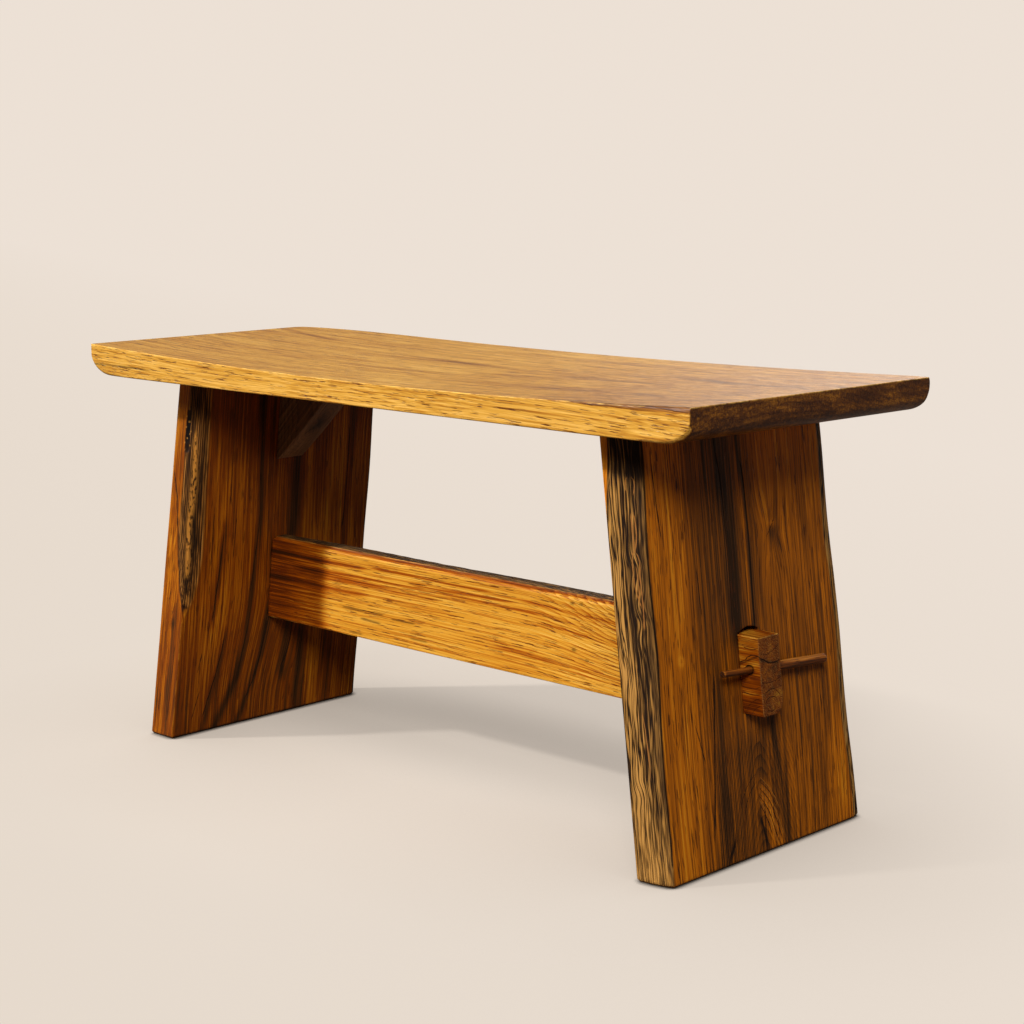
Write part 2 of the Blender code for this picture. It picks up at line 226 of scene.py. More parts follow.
def spread(value, start, full, low=0.0, high=1.0, kind="LINEAR"):
    """Turns a value's way from start to full into a way from low to high, and keeps it between."""
    inputs = {"Value": value, "From Min": start, "From Max": full, "To Min": low, "To Max": high}
    return add_node(value.id_data, "MapRange", inputs, interpolation_type=kind).outputs[0]


def blend_colours(share, first, second):
    inputs = {0: share, 6: first, 7: second}
    return add_node(tree_of(share, first, second), "Mix", inputs, data_type="RGBA").outputs[2]


def colour_ramp(value, stops):
    ramp = add_node(value.id_data, "ValToRGB", {0: value})
    elements = ramp.color_ramp.elements
    while len(elements) < len(stops):
        elements.new(1.0)
    for element, (share, colour) in zip(elements, stops):
        element.position = share
        element.color = (*colour, 1.0)
    return ramp.outputs[0]


def grain_noise(place, scale, detail):
    """Noise drawn out along the grain: scale is how fast it changes along, across and through it."""
    moved = add_node(place.id_data, "Mapping", {"Vector": place, "Scale": scale})
    inputs = {"Vector": moved.outputs[0], "Scale": 1.0, "Detail": detail, "Roughness": 0.6}
    return add_node(place.id_data, "TexNoise", inputs).outputs[0]


def three_numbers(tree, name):
    found = add_node(tree, "Attribute", attribute_name=name).outputs["Vector"]
    return add_node(tree, "SeparateXYZ", {0: found}).outputs


def leaned(value, share, onto):
    """Adds a noise value's distance from its middle, times share."""
    return reckon("MULTIPLY_ADD", reckon("SUBTRACT", value, 0.5), share, onto)


def drawn_lines(tree, axes, lines, wander):
    """Where thin lines run over a face, each a half width and its points along and across."""
    point = add_node(tree, "TexCoord").outputs["Object"]
    point = add_node(tree, "SeparateXYZ", {0: point}).outputs
    along, across = (point["XYZ".index(axis)] for axis in axes)
    found = 0.0
    for half_width, *points in lines:
        points.sort()
        start, end = points[0][0], points[-1][0]
        lowest = min(point[1] for point in points)
        span = max(point[1] for point in points) - lowest + 1e-5
        travel = spread(along, start, end)
        curve = add_node(tree, "FloatCurve", {"Value": travel})
        knots = curve.mapping.curves[0].points
        while len(knots) < len(points):
            knots.new(0.5, 0.5)
        for knot, (a, c) in zip(knots, points):
            knot.location = ((a - start) / (end - start), (c - lowest) / span)
        curve.mapping.update()
        middle = reckon("MULTIPLY_ADD", curve.outputs[0], span, lowest)
        off = reckon("SUBTRACT", leaned(wander, 3.0 * half_width, across), middle)
        fade = min(3.0 * half_width, end - start)
        near = spread(reckon("ABSOLUTE", off), half_width, 0.35 * half_width)
        begun = spread(along, start - fade, start + fade)
        unended = spread(along, end + fade, end - fade)
        line = times(near, times(begun, unended))
        found = reckon("MAXIMUM", found, line)
    return found


def timber(name, stops, streak, fibre, pores, roughness, gloss=0.32, worn=0.35, wane=None, drawn=()):
    """Oiled wood. It reads each point's place in the grain, its tone and marks, and its growth rings.

    stops run from the palest wood at 0 to the darkest at 1. wane gives a weathered live edge its
    colours from the bottom of a furrow to its crest, its strands' colour, its furrows to a metre and
    how far they stray. Each entry of drawn is the note that marks a face, the face's axes, a colour
    and thin lines.
    """
    material = bpy.data.materials.new(name)
    material.use_nodes = True
    tree = material.node_tree
    shader = tree.nodes["Principled BSDF"]
    place = add_node(tree, "Attribute", attribute_name="grain_place").outputs["Vector"]
    tone, mark, _ = three_numbers(tree, "figure")
    rings, ring_share, smooth = three_numbers(tree, "rings")
    streaks = grain_noise(place, (3.0, 70.0, 70.0), 4.0)
    threads = grain_noise(place, (6.0, 300.0, 300.0), 2.0)
    fibres = grain_noise(place, (11.0, 860.0, 860.0), 1.0)
    dashes = grain_noise(place, (42.0, 860.0, 860.0), 1.0)

    growth = leaned(streaks, 1.6, leaned(threads, 0.5, rings))
    growth = reckon("POWER", reckon("FRACT", growth), 2.5)
    growth = times(reckon("SUBTRACT", growth, 0.28), ring_share)
    tone = reckon("ADD", growth, leaned(streaks, streak, tone))
    tone = leaned(fibres, fibre, leaned(threads, 0.6 * fibre, tone))
    colour = colour_ramp(tone, stops)
    # Arrises blend towards the lightest wood by worn: partly rubbed wear, partly a painted highlight along
    # the edges.
    lightest = (*(min(1.0, 1.2 * part) for part in stops[0][1]), 1.0)
    arris = add_node(tree, "Attribute", attribute_name="arris").outputs["Fac"]
    chips = grain_noise(place, (90.0, 300.0, 300.0), 2.0)
    rubbed_and_highlit = times(spread(chips, 0.36, 0.62), worn)
    rubbed_and_highlit = times(arris, rubbed_and_highlit)
    colour = blend_colours(rubbed_and_highlit, colour, lightest)
    pore = spread(dashes, 0.615, 0.65)
    pore_share = times(pore, times(threads, 2.0 * pores))
    pore_share = add_node(tree, "Clamp", {0: pore_share}).outputs[0]
    deep_brown = (0.9 * stops[-2][1][0], 0.65 * stops[-2][1][1], 0.5 * stops[-2][1][2], 1.0)
    colour = blend_colours(pore_share, colour, deep_brown)
    mark = times(mark, reckon("ADD", threads, 0.5))
    mark = add_node(tree, "Clamp", {0: mark}).outputs[0]
    black_mark = (0.009, 0.004, 0.002, 1.0)
    colour = blend_colours(mark, colour, black_mark)
    height = leaned(pore, -0.8, leaned(threads, 0.6, fibres))
    sheen = leaned(fibres, 0.16, roughness)
    if wane:
        crest_colours, strand_colour, furrow_count, stray = wane
        cover, crest, bright = three_numbers(tree, "wane")
        folds = grain_noise(place, (8.0, 420.0, 420.0), 1.0)
        swirls = grain_noise(place, (13.0, 150.0, 150.0), 2.0)
        lane = add_node(tree, "SeparateXYZ", {0: place}).outputs
        lane = times(reckon("ADD", lane[1], lane[2]), furrow_count)
        lane = reckon("FRACT", leaned(swirls, stray, lane))
        lane = reckon("ABSOLUTE", reckon("SUBTRACT", lane, 0.5))
        grit = grain_noise(place, (38.0, 1000.0, 1000.0), 1.0)
        lumps = grain_noise(place, (150.0, 520.0, 520.0), 1.0)
        width = reckon("MULTIPLY_ADD", crest, -0.15, 0.36)
        furrow = spread(lane, width, 0.05)
        width = reckon("MULTIPLY_ADD", crest, -0.08, 0.11)
        from_fold = reckon("ABSOLUTE", reckon("SUBTRACT", folds, 0.5))
        crack = reckon("MAXIMUM", spread(from_fold, width, 0.01), furrow)
        crack = times(crack, reckon("MULTIPLY_ADD", smooth, -0.75, 0.98))
        crest = leaned(threads, 0.8, leaned(grit, 1.3, crest))
        ridge = times(reckon("SUBTRACT", lane, 0.25), 1.5)
        ridge = times(ridge, reckon("SUBTRACT", 1.0, smooth))
        crest = reckon("ADD", crest, ridge)
        weathered = colour_ramp(crest, crest_colours)
        dark_crack = (0.012, 0.005, 0.002, 1.0)
        weathered = blend_colours(crack, weathered, dark_crack)
        glow = times(bright, spread(lumps, 0.38, 0.5))
        weathered = blend_colours(glow, weathered, (*strand_colour, 1.0))
        colour = blend_colours(cover, colour, weathered)
        depth = times(cover, reckon("SUBTRACT", grit, crack))
        height = reckon("MULTIPLY_ADD", depth, 1.4, height)
        sheen = reckon("MULTIPLY_ADD", cover, 0.18, sheen)
    for face, axes, ink, lines in drawn:
        line = drawn_lines(tree, axes, lines, threads)
        share = add_node(tree, "Attribute", attribute_name=face).outputs["Fac"]
        line = times(line, share)
        colour = blend_colours(line, colour, (*ink, 1.0))
        height = reckon("MULTIPLY_ADD", line, -0.8, height)
        sheen = reckon("MULTIPLY_ADD", line, 0.4, sheen)
    bump = add_node(tree, "Bump", {"Height": height, "Strength": 0.5, "Distance": 0.0007})
    tree.links.new(colour, shader.inputs["Base Color"])
    tree.links.new(sheen, shader.inputs["Roughness"])
    tree.links.new(bump.outputs[0], shader.inputs["Normal"])
    shader.inputs["Specular IOR Level"].default_value = gloss
    return material


def swept(distance, corner):
    """How far a swept plan corner of (run, depth) draws the edge in."""
    share = 1.0 - np.clip(distance / corner[0], 0.0, 1.0)
    return corner[1] * (1.0 - np.sqrt(1.0 - share * share))


def seat_back(x):
    from_left = np.maximum(0.0, seat_half_length + seat_left_flare + x)
    from_right = np.maximum(0.0, seat_half_length + seat_right_flare - x)
    share = from_left / (from_left + from_right)
    line = mix(seat_left_back, seat_right_back, share) + seat_back_bow * (1.0 - (2.0 * share - 1.0) ** 2)
    line = line - seat_back_gap
    return line - swept(from_left, seat_left_corner) - swept(from_right, seat_right_corner)


def seat_ends(y):
    """Where the seat's left and right ends lie at depth y."""
    left = seat_half_length + seat_left_flare * (y - seat_front) / (seat_left_back - seat_front)
    right = seat_half_length + seat_right_flare * (y - seat_front) / (seat_right_back - seat_front)
    return -left, right


def seat_surface(x, y):
    share = (y - seat_front) / (seat_left_back - seat_front)
    dish = mix(seat_front_dish, seat_back_dish, share)
    return seat_level - dish * (1.0 - np.clip(np.abs(x) / seat_half_length, 0.0, 1.0) ** 2)


def seat_lower_side(x, y):
    left, right = seat_ends(y)
    share = 1.0 - np.clip(np.minimum(x - left, right - x) / seat_end_run, 0.0, 1.0)
    return seat_underside + seat_end_rise * (1.0 - np.sqrt(1.0 - share * share))


def seat_place(across, deep, high):
    back = seat_back(mix(*seat_ends(seat_left_back), across))
    y = mix(seat_front, back, deep)
    x = mix(*seat_ends(y), across)
    top = seat_surface(x, y)
    bottom = seat_lower_side(x, y)
    z = mix(bottom, top, high)
    ease = mix(*seat_front_ease, eased(np.abs(x), 0.36, 0.43))
    lip = seat_lip * eased(x, *seat_lip_run)
    front = seat_front + worn_off(z - bottom, ease, ease) + worn_off(top - z, lip, 0.45 * lip)
    back = back - worn_off(top - z, *seat_back_top_ease) - worn_off(z - bottom, *seat_back_foot_ease)
    return mix(*seat_ends(y), across), mix(front, back, deep), z


seat_length = seat_high.x - seat_low.x
rounded_end = seat_end_run / seat_length * (1.0 - np.cos(np.linspace(0.0, math.pi / 2, 15)))
seat_across = np.concatenate([
    rounded_end[:-1], np.linspace(rounded_end[-1], 1.0 - rounded_end[-1], 250), 1.0 - rounded_end[-2::-1],
])
seat_deep = grid_lines((seat_arris, 1), (0.006, 4), (0.332, 84), (0.009, 5), (seat_arris, 1))
seat_high_lines = grid_lines((seat_arris, 1), (0.0048, 5), (0.0228, 12), (0.0048, 5), (seat_arris, 1))
seat = block_skin("seat_slab", seat_across, seat_deep, seat_high_lines, seat_place)
x, y, z = points_of(seat)
left_end, right_end = seat_ends(y)
from_end = np.minimum(x - left_end, right_end - x)
in_front = y - seat_front
from_top = seat_surface(x, y) - z
on_top = faded(from_top, 0.0004, 0.0012)
on_front = faded(in_front, 0.001, 0.004) * (1.0 - on_top)
on_end = eased(seat_lower_side(x, y) + 0.001 - z + 0.002 * (from_end < 0.0004), 0.0, 0.0005)
on_end *= faded(from_end, 0.5 * seat_end_run, seat_end_run)
on_end = np.where((from_end < 0.0004) & (from_top > 0.0008), 1.0, on_end) * eased(in_front, 0.0004, 0.0012)

sway = 0.012 * ripples(x * 2.2, y * 5.0, z * 5.0, 3.0)
note(seat, "grain_place", [x, y + sway, z + 0.35 * sway + 0.03 * x])
heart = np.hypot((y + 0.03) * 0.4, z - 0.33 + 0.02 * x)
phase = heart / 0.0046 + 1.6 * ripples(x * 1.4, y * 9.0, z * 40.0, 8.0)
note(seat, "rings", [phase, 0.16, 0.0])

top_places = [-0.44, -0.3, 0.0, 0.12, 0.25, 0.38, 0.44]
top_tone = np.interp(x, top_places, [0.41, 0.4, 0.33, 0.4, 0.49, 0.57, 0.59])
tone = mix(0.3, top_tone, on_top) + 0.06 * ripples(x * 3.0, y * 30.0, z * 30.0, 1.0)
seat_veins = (
    (0.22, (-0.1, 0.02, 0.006), (-0.02, 0.018, 0.006)),
    (0.16, (-0.05, 0.014, 0.005), (0.1, 0.008, 0.005)),
    (0.18, (0.1, -0.011, 0.007), (0.22, -0.018, 0.006)),
    (0.16, (0.24, 0.04, 0.006), (0.36, 0.018, 0.006)),
    (0.2, (-0.44, 0.105, 0.008), (-0.32, 0.074, 0.006)),
    (0.14, (-0.28, -0.02, 0.006), (-0.18, -0.022, 0.006)),
    (0.12, (-0.24, -0.075, 0.006), (-0.12, -0.068, 0.006)),
    (0.12, (-0.05, 0.125, 0.009), (0.16, 0.118, 0.008)),
    (0.12, (0.05, -0.11, 0.007), (0.3, -0.1, 0.008)),
)
tone += veins(x, y, seat_veins, 0.05) * on_top
front_line = strand(x, z, [(-0.435, 0.428, 0.001), (-0.34, 0.428, 0.0006)], 0.03) * on_front
below_lip = eased(from_top - seat_lip * eased(x, *seat_lip_run), 0.0, 0.001)
on_lip = eased(x, 0.27, 0.31) * (1.0 - below_lip) * faded(in_front, 0.003, 0.0045)
tone = mix(tone, 0.76 + 0.06 * ripples(x * 40.0, from_top * 900.0, 0.0, 6.0), on_lip)
end_swirl = ripples(y * 26.0 + 3.0 * ripples(y * 14.0, z * 50.0, 0.0, 4.0), z * 150.0, x * 3.0, 5.0)
tone = mix(tone, 0.84 + 0.26 * end_swirl, on_end * np.where(x > 0, 1.0, 0.55))
note(seat, "figure", [tone, 0.8 * front_line, 0.0])
# The top's rims take the lightened arris: a painted highlight line along the top's edges, with some rubbed
# wear.
rim = (from_top < 0.0009) & ((in_front < 0.0011) | (from_end < 0.0011) | (seat_back(x) - y < 0.004))
note(seat, "arris", rim.astype(float))

seat.data.materials.append(timber("seat_golden_wood", (
    (0.0, (0.9, 0.52, 0.12)), (0.3, (0.69, 0.345, 0.044)), (0.55, (0.43, 0.165, 0.014)),
    (0.8, (0.14, 0.044, 0.006)), (1.0, (0.038, 0.011, 0.003)),
), streak=0.3, fibre=0.85, pores=0.8, roughness=0.36, worn=0.55))
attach(seat, "bench")
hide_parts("seat")

# Left leg
# A splayed slab of dark hardwood with a planed front edge. Near its top the inner front corner keeps
# a lens of weathered wane, with a black pitted slot beside it. A through mortise takes the tenon.

leg_splay = 0.051
leg_foot_reach = 0.385
splay_per_rise = leg_splay / seat_underside
leg_depth = 0.038 / math.cos(math.atan(splay_per_rise))
leg_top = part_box("leg_left")[1].z
leg_arris = 0.0011
foot_ease = 0.003
foot_inset = 0.002
left_front_reach = (0.1455, 0.1295)
left_back_reach = (0.139, 0.1375)
left_back_wane = (0.012, 0.0055)
lens_furrow_depth = 0.0007
slot_depth = 0.0022
fit_gap = 0.0003
stretcher_centre = 0.004
tenon_half = 0.016
tenon_bottom = 0.1385
tenon_top = 0.2135
mortise_gap = 0.0015
mortise_arch = 0.0042
mortise_run = (0.28, 0.42)


def outer_face(z):
    """How far the legs' outer faces lie from the middle of the bench at a height."""
    return leg_foot_reach - splay_per_rise * z


def inner_face(z):
    return outer_face(z) - leg_depth


def wave(share, start):
    """A slow swell along a live edge, about 1."""
    return 1.0 + 0.16 * np.sin(math.tau * (share / 0.435 + start))


def slab_leg(name, side, edges_at, outer_relief, inner_relief):
    """A leg from the lines of its front and back edges, each given by depth w from the outer face."""
    def place(across, deep, high):
        z = high * leg_top
        w = deep * leg_depth
        front, back = edges_at(w, z)
        inset = foot_inset * (1.0 - np.clip(z / foot_ease, 0.0, 1.0))
        y = mix(front + inset, back - inset, across)
        outer = outer_face(z) - inset - outer_relief(y, z)
        inner = inner_face(z) + inset - inner_relief(y, z)
        return side * mix(outer, inner, deep), y, z

    across = grid_lines(
        (leg_arris, 1), (0.012, 8), (0.11, 32), (0.05, 18), (0.1, 24), (0.01, 6), (leg_arris, 1)
    )
    deep = grid_lines(
        (leg_arris, 1), (0.003, 7), (leg_depth - 2 * leg_arris - 0.006, 43), (0.003, 7), (leg_arris, 1)
    )
    high = grid_lines((foot_ease, 3), (leg_top - foot_ease - 0.001, 256), (0.001, 1))
    if side > 0:
        return block_skin(name, 1.0 - across[::-1], deep, high, lambda a, d, h: place(1.0 - a, d, h))
    return block_skin(name, across, deep, high, place)


def cut_through(piece, rows):
    """Cuts away the closed form spanned by rows of points."""
    count = len(rows[0])
    faces = [list(range(count)), list(range(count * (len(rows) - 1), count * len(rows)))]
    for start in range(0, count * (len(rows) - 1), count):
        for k in range(count):
            n = (k + 1) % count
            faces.append([start + k, start + n, start + count + n, start + count + k])
    cutter = new_piece("cutter", [point for row in rows for point in row], faces)
    form = bmesh.new()
    form.from_mesh(cutter.data)
    bmesh.ops.recalc_face_normals(form, faces=form.faces)
    form.to_mesh(cutter.data)
    form.free()
    cut = piece.modifiers.new("cut", "BOOLEAN")
    cut.operation = "DIFFERENCE"
    cut.solver = "EXACT"
    cut.object = cutter
    view = bpy.context.evaluated_depsgraph_get()
    result = bpy.data.meshes.new_from_object(piece.evaluated_get(view))
    piece.modifiers.clear()
    bpy.data.objects.remove(cutter)
    piece.data = result


def mortise_rows(side):
    """A level through mortise with a low arch over the tenon."""
    near = stretcher_centre - tenon_half - fit_gap
    far = stretcher_centre + tenon_half + fit_gap
    outline = [(near, tenon_bottom - fit_gap), (far, tenon_bottom - fit_gap)]
    for share in np.linspace(0.0, 1.0, 17):
        rise = tenon_top + mortise_gap + mortise_arch * math.sin(math.pi * share)
        outline.append((mix(far, near, share), rise))
    return [[(side * x, y, z) for y, z in outline] for x in mortise_run]


def lens_border(z):
    """Where the wane begins on the front edge, as depth w from the outer face."""
    return np.interp(z, [0.136, 0.15, 0.162, 0.185, 0.21, 0.232, 0.26, 0.416],
                     [0.039, 0.0384, 0.0355, 0.0292, 0.0246, 0.0212, 0.02, 0.02])


def lens_reach(z):
    """How far the wane runs back along the inner face."""
    return np.interp(z, [0.136, 0.152, 0.165, 0.185, 0.21, 0.26, 0.416],
                     [0.0, 0.008, 0.014, 0.019, 0.0215, 0.0205, 0.0155])


def lens_furrows(w, z):
    return ripples(w * 230.0, z * 14.0, 0.0, 12.0) + 0.6 * ripples(w * 520.0, z * 40.0, 0.0, 14.0)


def pitted_slot(w, z):
    line = [
        (0.334, 0.0225, 0.003), (0.345, 0.0213, 0.0036), (0.36, 0.0212, 0.0036), (0.378, 0.0215, 0.0036),
    ]
    return strand(z, w, line, 0.005) * (0.9 + 0.4 * ripples(w * 300.0, z * 200.0, 0.0, 17.0))


def left_edges(w, z):
    climbed = z / leg_top
    front = -mix(*left_front_reach, climbed)
    back = mix(*left_back_reach, climbed)
    lens_in = np.maximum(leg_depth - lens_border(z), 1e-5)
    from_inner = leg_depth - w
    front = front + worn_off(from_inner, lens_in, lens_reach(z))
    weathered = eased(z, 0.15, 0.18) * faded(from_inner, 0.9 * lens_in, lens_in)
    front = front + lens_furrow_depth * lens_furrows(w, z) * weathered
    front = front + slot_depth * np.clip(pitted_slot(w, z) - 0.25, 0.0, 1.0)
    front = front + 0.0003 * (1.0 + ripples(w * 60.0, z * 12.0, 0.0, 19.0))
    back_wave = wave(climbed, 0.15)
    back_run, back_depth = left_back_wane
    back = back - worn_off(from_inner, back_run * back_wave, back_depth * back_wave)
    return front, back


def spot(along, across, centre, size):
    """A soft oval spot, 1 at its centre."""
    return np.exp(-((along - centre[0]) / size[0]) ** 2 - ((across - centre[1]) / size[1]) ** 2)


def sawn(seed):
    """The slight unevenness of a sawn and scraped face."""
    return lambda y, z: 0.0002 * (1.0 + ripples(y * 16.0, z * 7.0, 0.0, seed))


left_leg = slab_leg("left_leg_slab", -1, left_edges, sawn(21.0), sawn(23.0))
cut_through(left_leg, mortise_rows(-1))
x, y, z = points_of(left_leg)
w = outer_face(z) + x
front, back = left_edges(w, z)
in_front = y - front
on_front = faded(in_front, 0.0005, 0.0014)
on_inner = eased(w, 0.6 * leg_depth, 0.95 * leg_depth) * (1.0 - on_front)
on_outer = faded(w, 0.05 * leg_depth, 0.4 * leg_depth) * (1.0 - on_front)

bend = 0.02 * faded(z, 0.02, 0.16) * eased(y, -0.13, -0.02) * faded(y, 0.0, 0.06)
sway = 0.008 * ripples(z * 4.0, y * 9.0, 0.0, 31.0) + bend
note(left_leg, "grain_place", [z, 0.6 * (y + sway), w])
phase = (y + sway) / 0.006 + 2.2 * ripples(z * 2.5, y * 12.0, w * 30.0, 34.0)
note(left_leg, "rings", [phase, 0.1, 0.35 * on_front])

tone = 0.46 + 0.1 * ripples(z * 5.0, y * 34.0, w * 20.0, 35.0) + 0.06 * faded(z, 0.05, 0.16)
glowing = strand(z, y, [(0.1, -0.085, 0.03), (0.2, -0.08, 0.034), (0.34, -0.08, 0.03)], 0.06)
tone -= 0.1 * glowing * on_inner
left_inner_veins = (
    (0.4, (0.135, -0.095, 0.003), (0.16, -0.092, 0.004), (0.2, -0.088, 0.004), (0.24, -0.085, 0.003)),
    (0.34, (0.0, -0.104, 0.004), (0.05, -0.09, 0.004), (0.085, -0.08, 0.004), (0.11, -0.075, 0.003)),
    (0.46, (0.0, -0.085, 0.006), (0.06, -0.055, 0.005), (0.1, -0.045, 0.005), (0.14, -0.042, 0.005),
     (0.18, -0.038, 0.005), (0.25, -0.033, 0.005), (0.3, -0.035, 0.004), (0.4, -0.04, 0.005)),
    (0.42, (0.0, -0.052, 0.005), (0.04, -0.035, 0.004), (0.08, -0.02, 0.004), (0.13, -0.012, 0.004)),
    (0.48, (0.225, 0.017, 0.008), (0.33, 0.017, 0.009)),
    (0.4, (0.055, 0.014, 0.006), (0.12, 0.02, 0.007)),
    (0.4, (0.0, 0.045, 0.01), (0.1, 0.04, 0.008)),
    (0.26, (0.0, 0.085, 0.01), (0.14, 0.08, 0.008)),
    (0.3, (0.2, 0.1, 0.005), (0.4, 0.1, 0.006)),
    (0.2, (0.24, 0.052, 0.006), (0.4, 0.06, 0.01)),
    (0.14, (0.18, -0.02, 0.004), (0.4, -0.022, 0.005)),
)
tone += veins(z, y, left_inner_veins, 0.02) * on_inner
# Darker towards the top of the inner face, beneath the seat: painted shade.
tone += 0.16 * eased(z, 0.3, 0.38) * on_inner
# Lighter towards the back of the inner face: painted light in a part the lamps leave in shade.
tone -= 0.12 * eased(y, 0.025, 0.045) * on_inner
left_outer_veins = (
    (0.32, (0.0, 0.01, 0.03), (0.2, 0.0, 0.022), (0.41, 0.012, 0.018)),
    (0.26, (0.0, -0.08, 0.006), (0.2, -0.07, 0.005), (0.41, -0.06, 0.006)),
    (0.24, (0.0, 0.09, 0.005), (0.2, 0.08, 0.006), (0.41, 0.085, 0.005)),
)
tone += veins(z, y, left_outer_veins, 0.02) * on_outer
facet = on_front * eased(z, 0.13, 0.18)
tone = mix(tone, 0.31 + 0.1 * ripples(z * 12.0, w * 200.0, 0.0, 36.0), 0.9 * facet)
tone += 0.1 * spot(z, w, (0.315, 0.01), (0.03, 0.02)) * on_front
low_front = on_front * faded(z, 0.13, 0.18)
tone = mix(tone, 0.45 + 0.22 * ripples(z * 9.0, w * 130.0, 0.0, 37.0), low_front)
# The lowest two millimetres of the foot turn almost black: a painted contact shadow where the leg meets the
# floor.
tone = mix(tone, 1.15, faded(z, 0.001, 0.0026))
tone += 0.1 * eased(w, 0.01, 0.03) * low_front
tone += 0.3 * spot(z, w, (0.135, 0.022), (0.006, 0.004)) * on_front
slot_mark = 0.95 * on_front * np.clip(3.0 * pitted_slot(w, z) - 0.9, 0.0, 1.0)
tone = mix(tone, 1.4, slot_mark)
note(left_leg, "figure", [tone, 0.0, 0.0])
note(left_leg, "inner_face", on_inner)
note(left_leg, "front_edge", on_front)

from_inner = leg_depth - w
lens_in = leg_depth - lens_border(z)
cover = on_front * eased(z, 0.134, 0.139) * faded(from_inner, lens_in - 0.0004, lens_in + 0.0006)
cover = cover * (1.0 - slot_mark)
back_cover = faded(back - y, 0.0006, 0.0016) * eased(w, leg_depth - 0.013, leg_depth - 0.009)
crest = 0.44 - 0.1 * lens_furrows(w, z)
crest += 0.28 * np.exp(-((from_inner - lens_in + 0.0018) / 0.0012) ** 2)
crest += 0.2 * faded(from_inner, 0.0006, 0.0028)
crest -= 0.2 * strand(z, w, [(0.18, 0.0345, 0.0014), (0.23, 0.034, 0.0018), (0.31, 0.0347, 0.0016)], 0.02)
crest += 0.16 * spot(z, w, (0.357, 0.03), (0.016, 0.005))
lit = strand(z, w, [
    (0.195, 0.0338, 0.0012), (0.21, 0.0325, 0.0016), (0.23, 0.031, 0.0018), (0.25, 0.03, 0.0018),
    (0.277, 0.0312, 0.0022), (0.3, 0.0315, 0.0022), (0.33, 0.0312, 0.0018), (0.35, 0.03, 0.0012),
], 0.01)
crest = np.where(back_cover > cover, 0.75, crest)
note(left_leg, "wane", [np.maximum(cover, back_cover), crest, lit * cover])


def on_left_front(*lines):
    """Lines of the left leg's front edge, with their depths from the outer face turned into x."""
    return [
        (half_width, *((height, depth - outer_face(height)) for height, depth in points))
        for half_width, *points in lines
    ]


browned_crests = (
    (0.0, (0.012, 0.005, 0.001)), (0.25, (0.044, 0.017, 0.003)), (0.5, (0.14, 0.052, 0.009)),
    (0.75, (0.28, 0.108, 0.017)), (1.0, (0.46, 0.19, 0.034)),
)
left_inner_lines = (
    (0.0009, (0.135, -0.0955), (0.16, -0.0925), (0.2, -0.0885), (0.235, -0.0855)),
    (0.0009, (0.02, -0.102), (0.05, -0.092), (0.085, -0.0815), (0.11, -0.0765)),
    (0.0007, (0.16, -0.0415), (0.2, -0.0375), (0.25, -0.0345), (0.3, -0.0365)),
    (0.0008, (0.03, -0.04), (0.07, -0.0235), (0.12, -0.0135)),
    (0.0006, (0.2, -0.102), (0.26, -0.101)),
    (0.0006, (0.27, -0.078), (0.33, -0.079)),
    (0.0006, (0.02, -0.118), (0.05, -0.109)),
    (0.0006, (0.075, -0.113), (0.095, -0.108)),
    (0.0006, (0.115, -0.101), (0.13, -0.099)),
    (0.0006, (0.205, -0.07), (0.25, -0.068)),
    (0.0007, (0.22, 0.095), (0.28, 0.097), (0.34, 0.096)),
    (0.0012, (0.06, 0.012), (0.075, 0.02), (0.1, 0.025), (0.14, 0.026)),
)
left_front_lines = on_left_front(
    (0.0013, (0.136, 0.039), (0.15, 0.038), (0.162, 0.035), (0.185, 0.0286), (0.21, 0.024),
     (0.232, 0.02), (0.275, 0.013), (0.308, 0.003)),
    (0.0007, (0.3, 0.014), (0.34, 0.013), (0.375, 0.012)),
    (0.0006, (0.16, 0.012), (0.172, 0.015)),
    (0.0006, (0.145, 0.02), (0.158, 0.024)),
    (0.0007, (0.02, 0.026), (0.06, 0.028), (0.11, 0.03)),
    (0.0006, (0.03, 0.01), (0.05, 0.011)),
)
slot_lines = on_left_front((0.0046, (0.335, 0.0224), (0.345, 0.0213), (0.36, 0.0211), (0.379, 0.0215)))
dots = (
    (0.3665, 0.0215), (0.353, 0.0232), (0.348, 0.0202), (0.343, 0.0176), (0.3605, 0.018),
    (0.34, 0.0248), (0.356, 0.0248), (0.3725, 0.0178), (0.335, 0.019),
)
dot_lines = on_left_front(*((0.0011, (height, depth), (height + 0.001, depth)) for height, depth in dots))
left_leg.data.materials.append(timber("left_leg_dark_wood", (
    (0.0, (0.66, 0.3, 0.02)), (0.22, (0.46, 0.138, 0.004)), (0.5, (0.21, 0.043, 0.002)),
    (0.78, (0.078, 0.025, 0.005)), (1.0, (0.026, 0.011, 0.004)),
), streak=0.4, fibre=0.85, pores=0.6, roughness=0.46, gloss=0.13, wane=(
    browned_crests, (0.58, 0.235, 0.034), 420.0, 1.2,
), drawn=(
    ("inner_face", "ZY", (0.016, 0.006, 0.002), left_inner_lines),
    ("front_edge", "ZX", (0.03, 0.01, 0.003), left_front_lines),
    ("front_edge", "ZX", (0.004, 0.002, 0.001), slot_lines),
    ("front_edge", "ZX", (0.56, 0.25, 0.04), dot_lines),
)))
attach(left_leg, "bench")
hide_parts("leg_left")

# Right leg
# The same plank cut nearer the bark. Its whole front edge is live, with deep furrows and bright
# strands of bast, and a dark heart runs down its outer face to a curled figure at the foot.

right_front_reach = 0.1415
right_back_reach = (0.1645, 0.1485)
right_back_wane = (0.005, 0.0147)


def spots(along, across, *ovals):
    """Soft spots together, each given by its share, its centre and its size."""
    return sum(share * spot(along, across, centre, size) for share, centre, size in ovals)


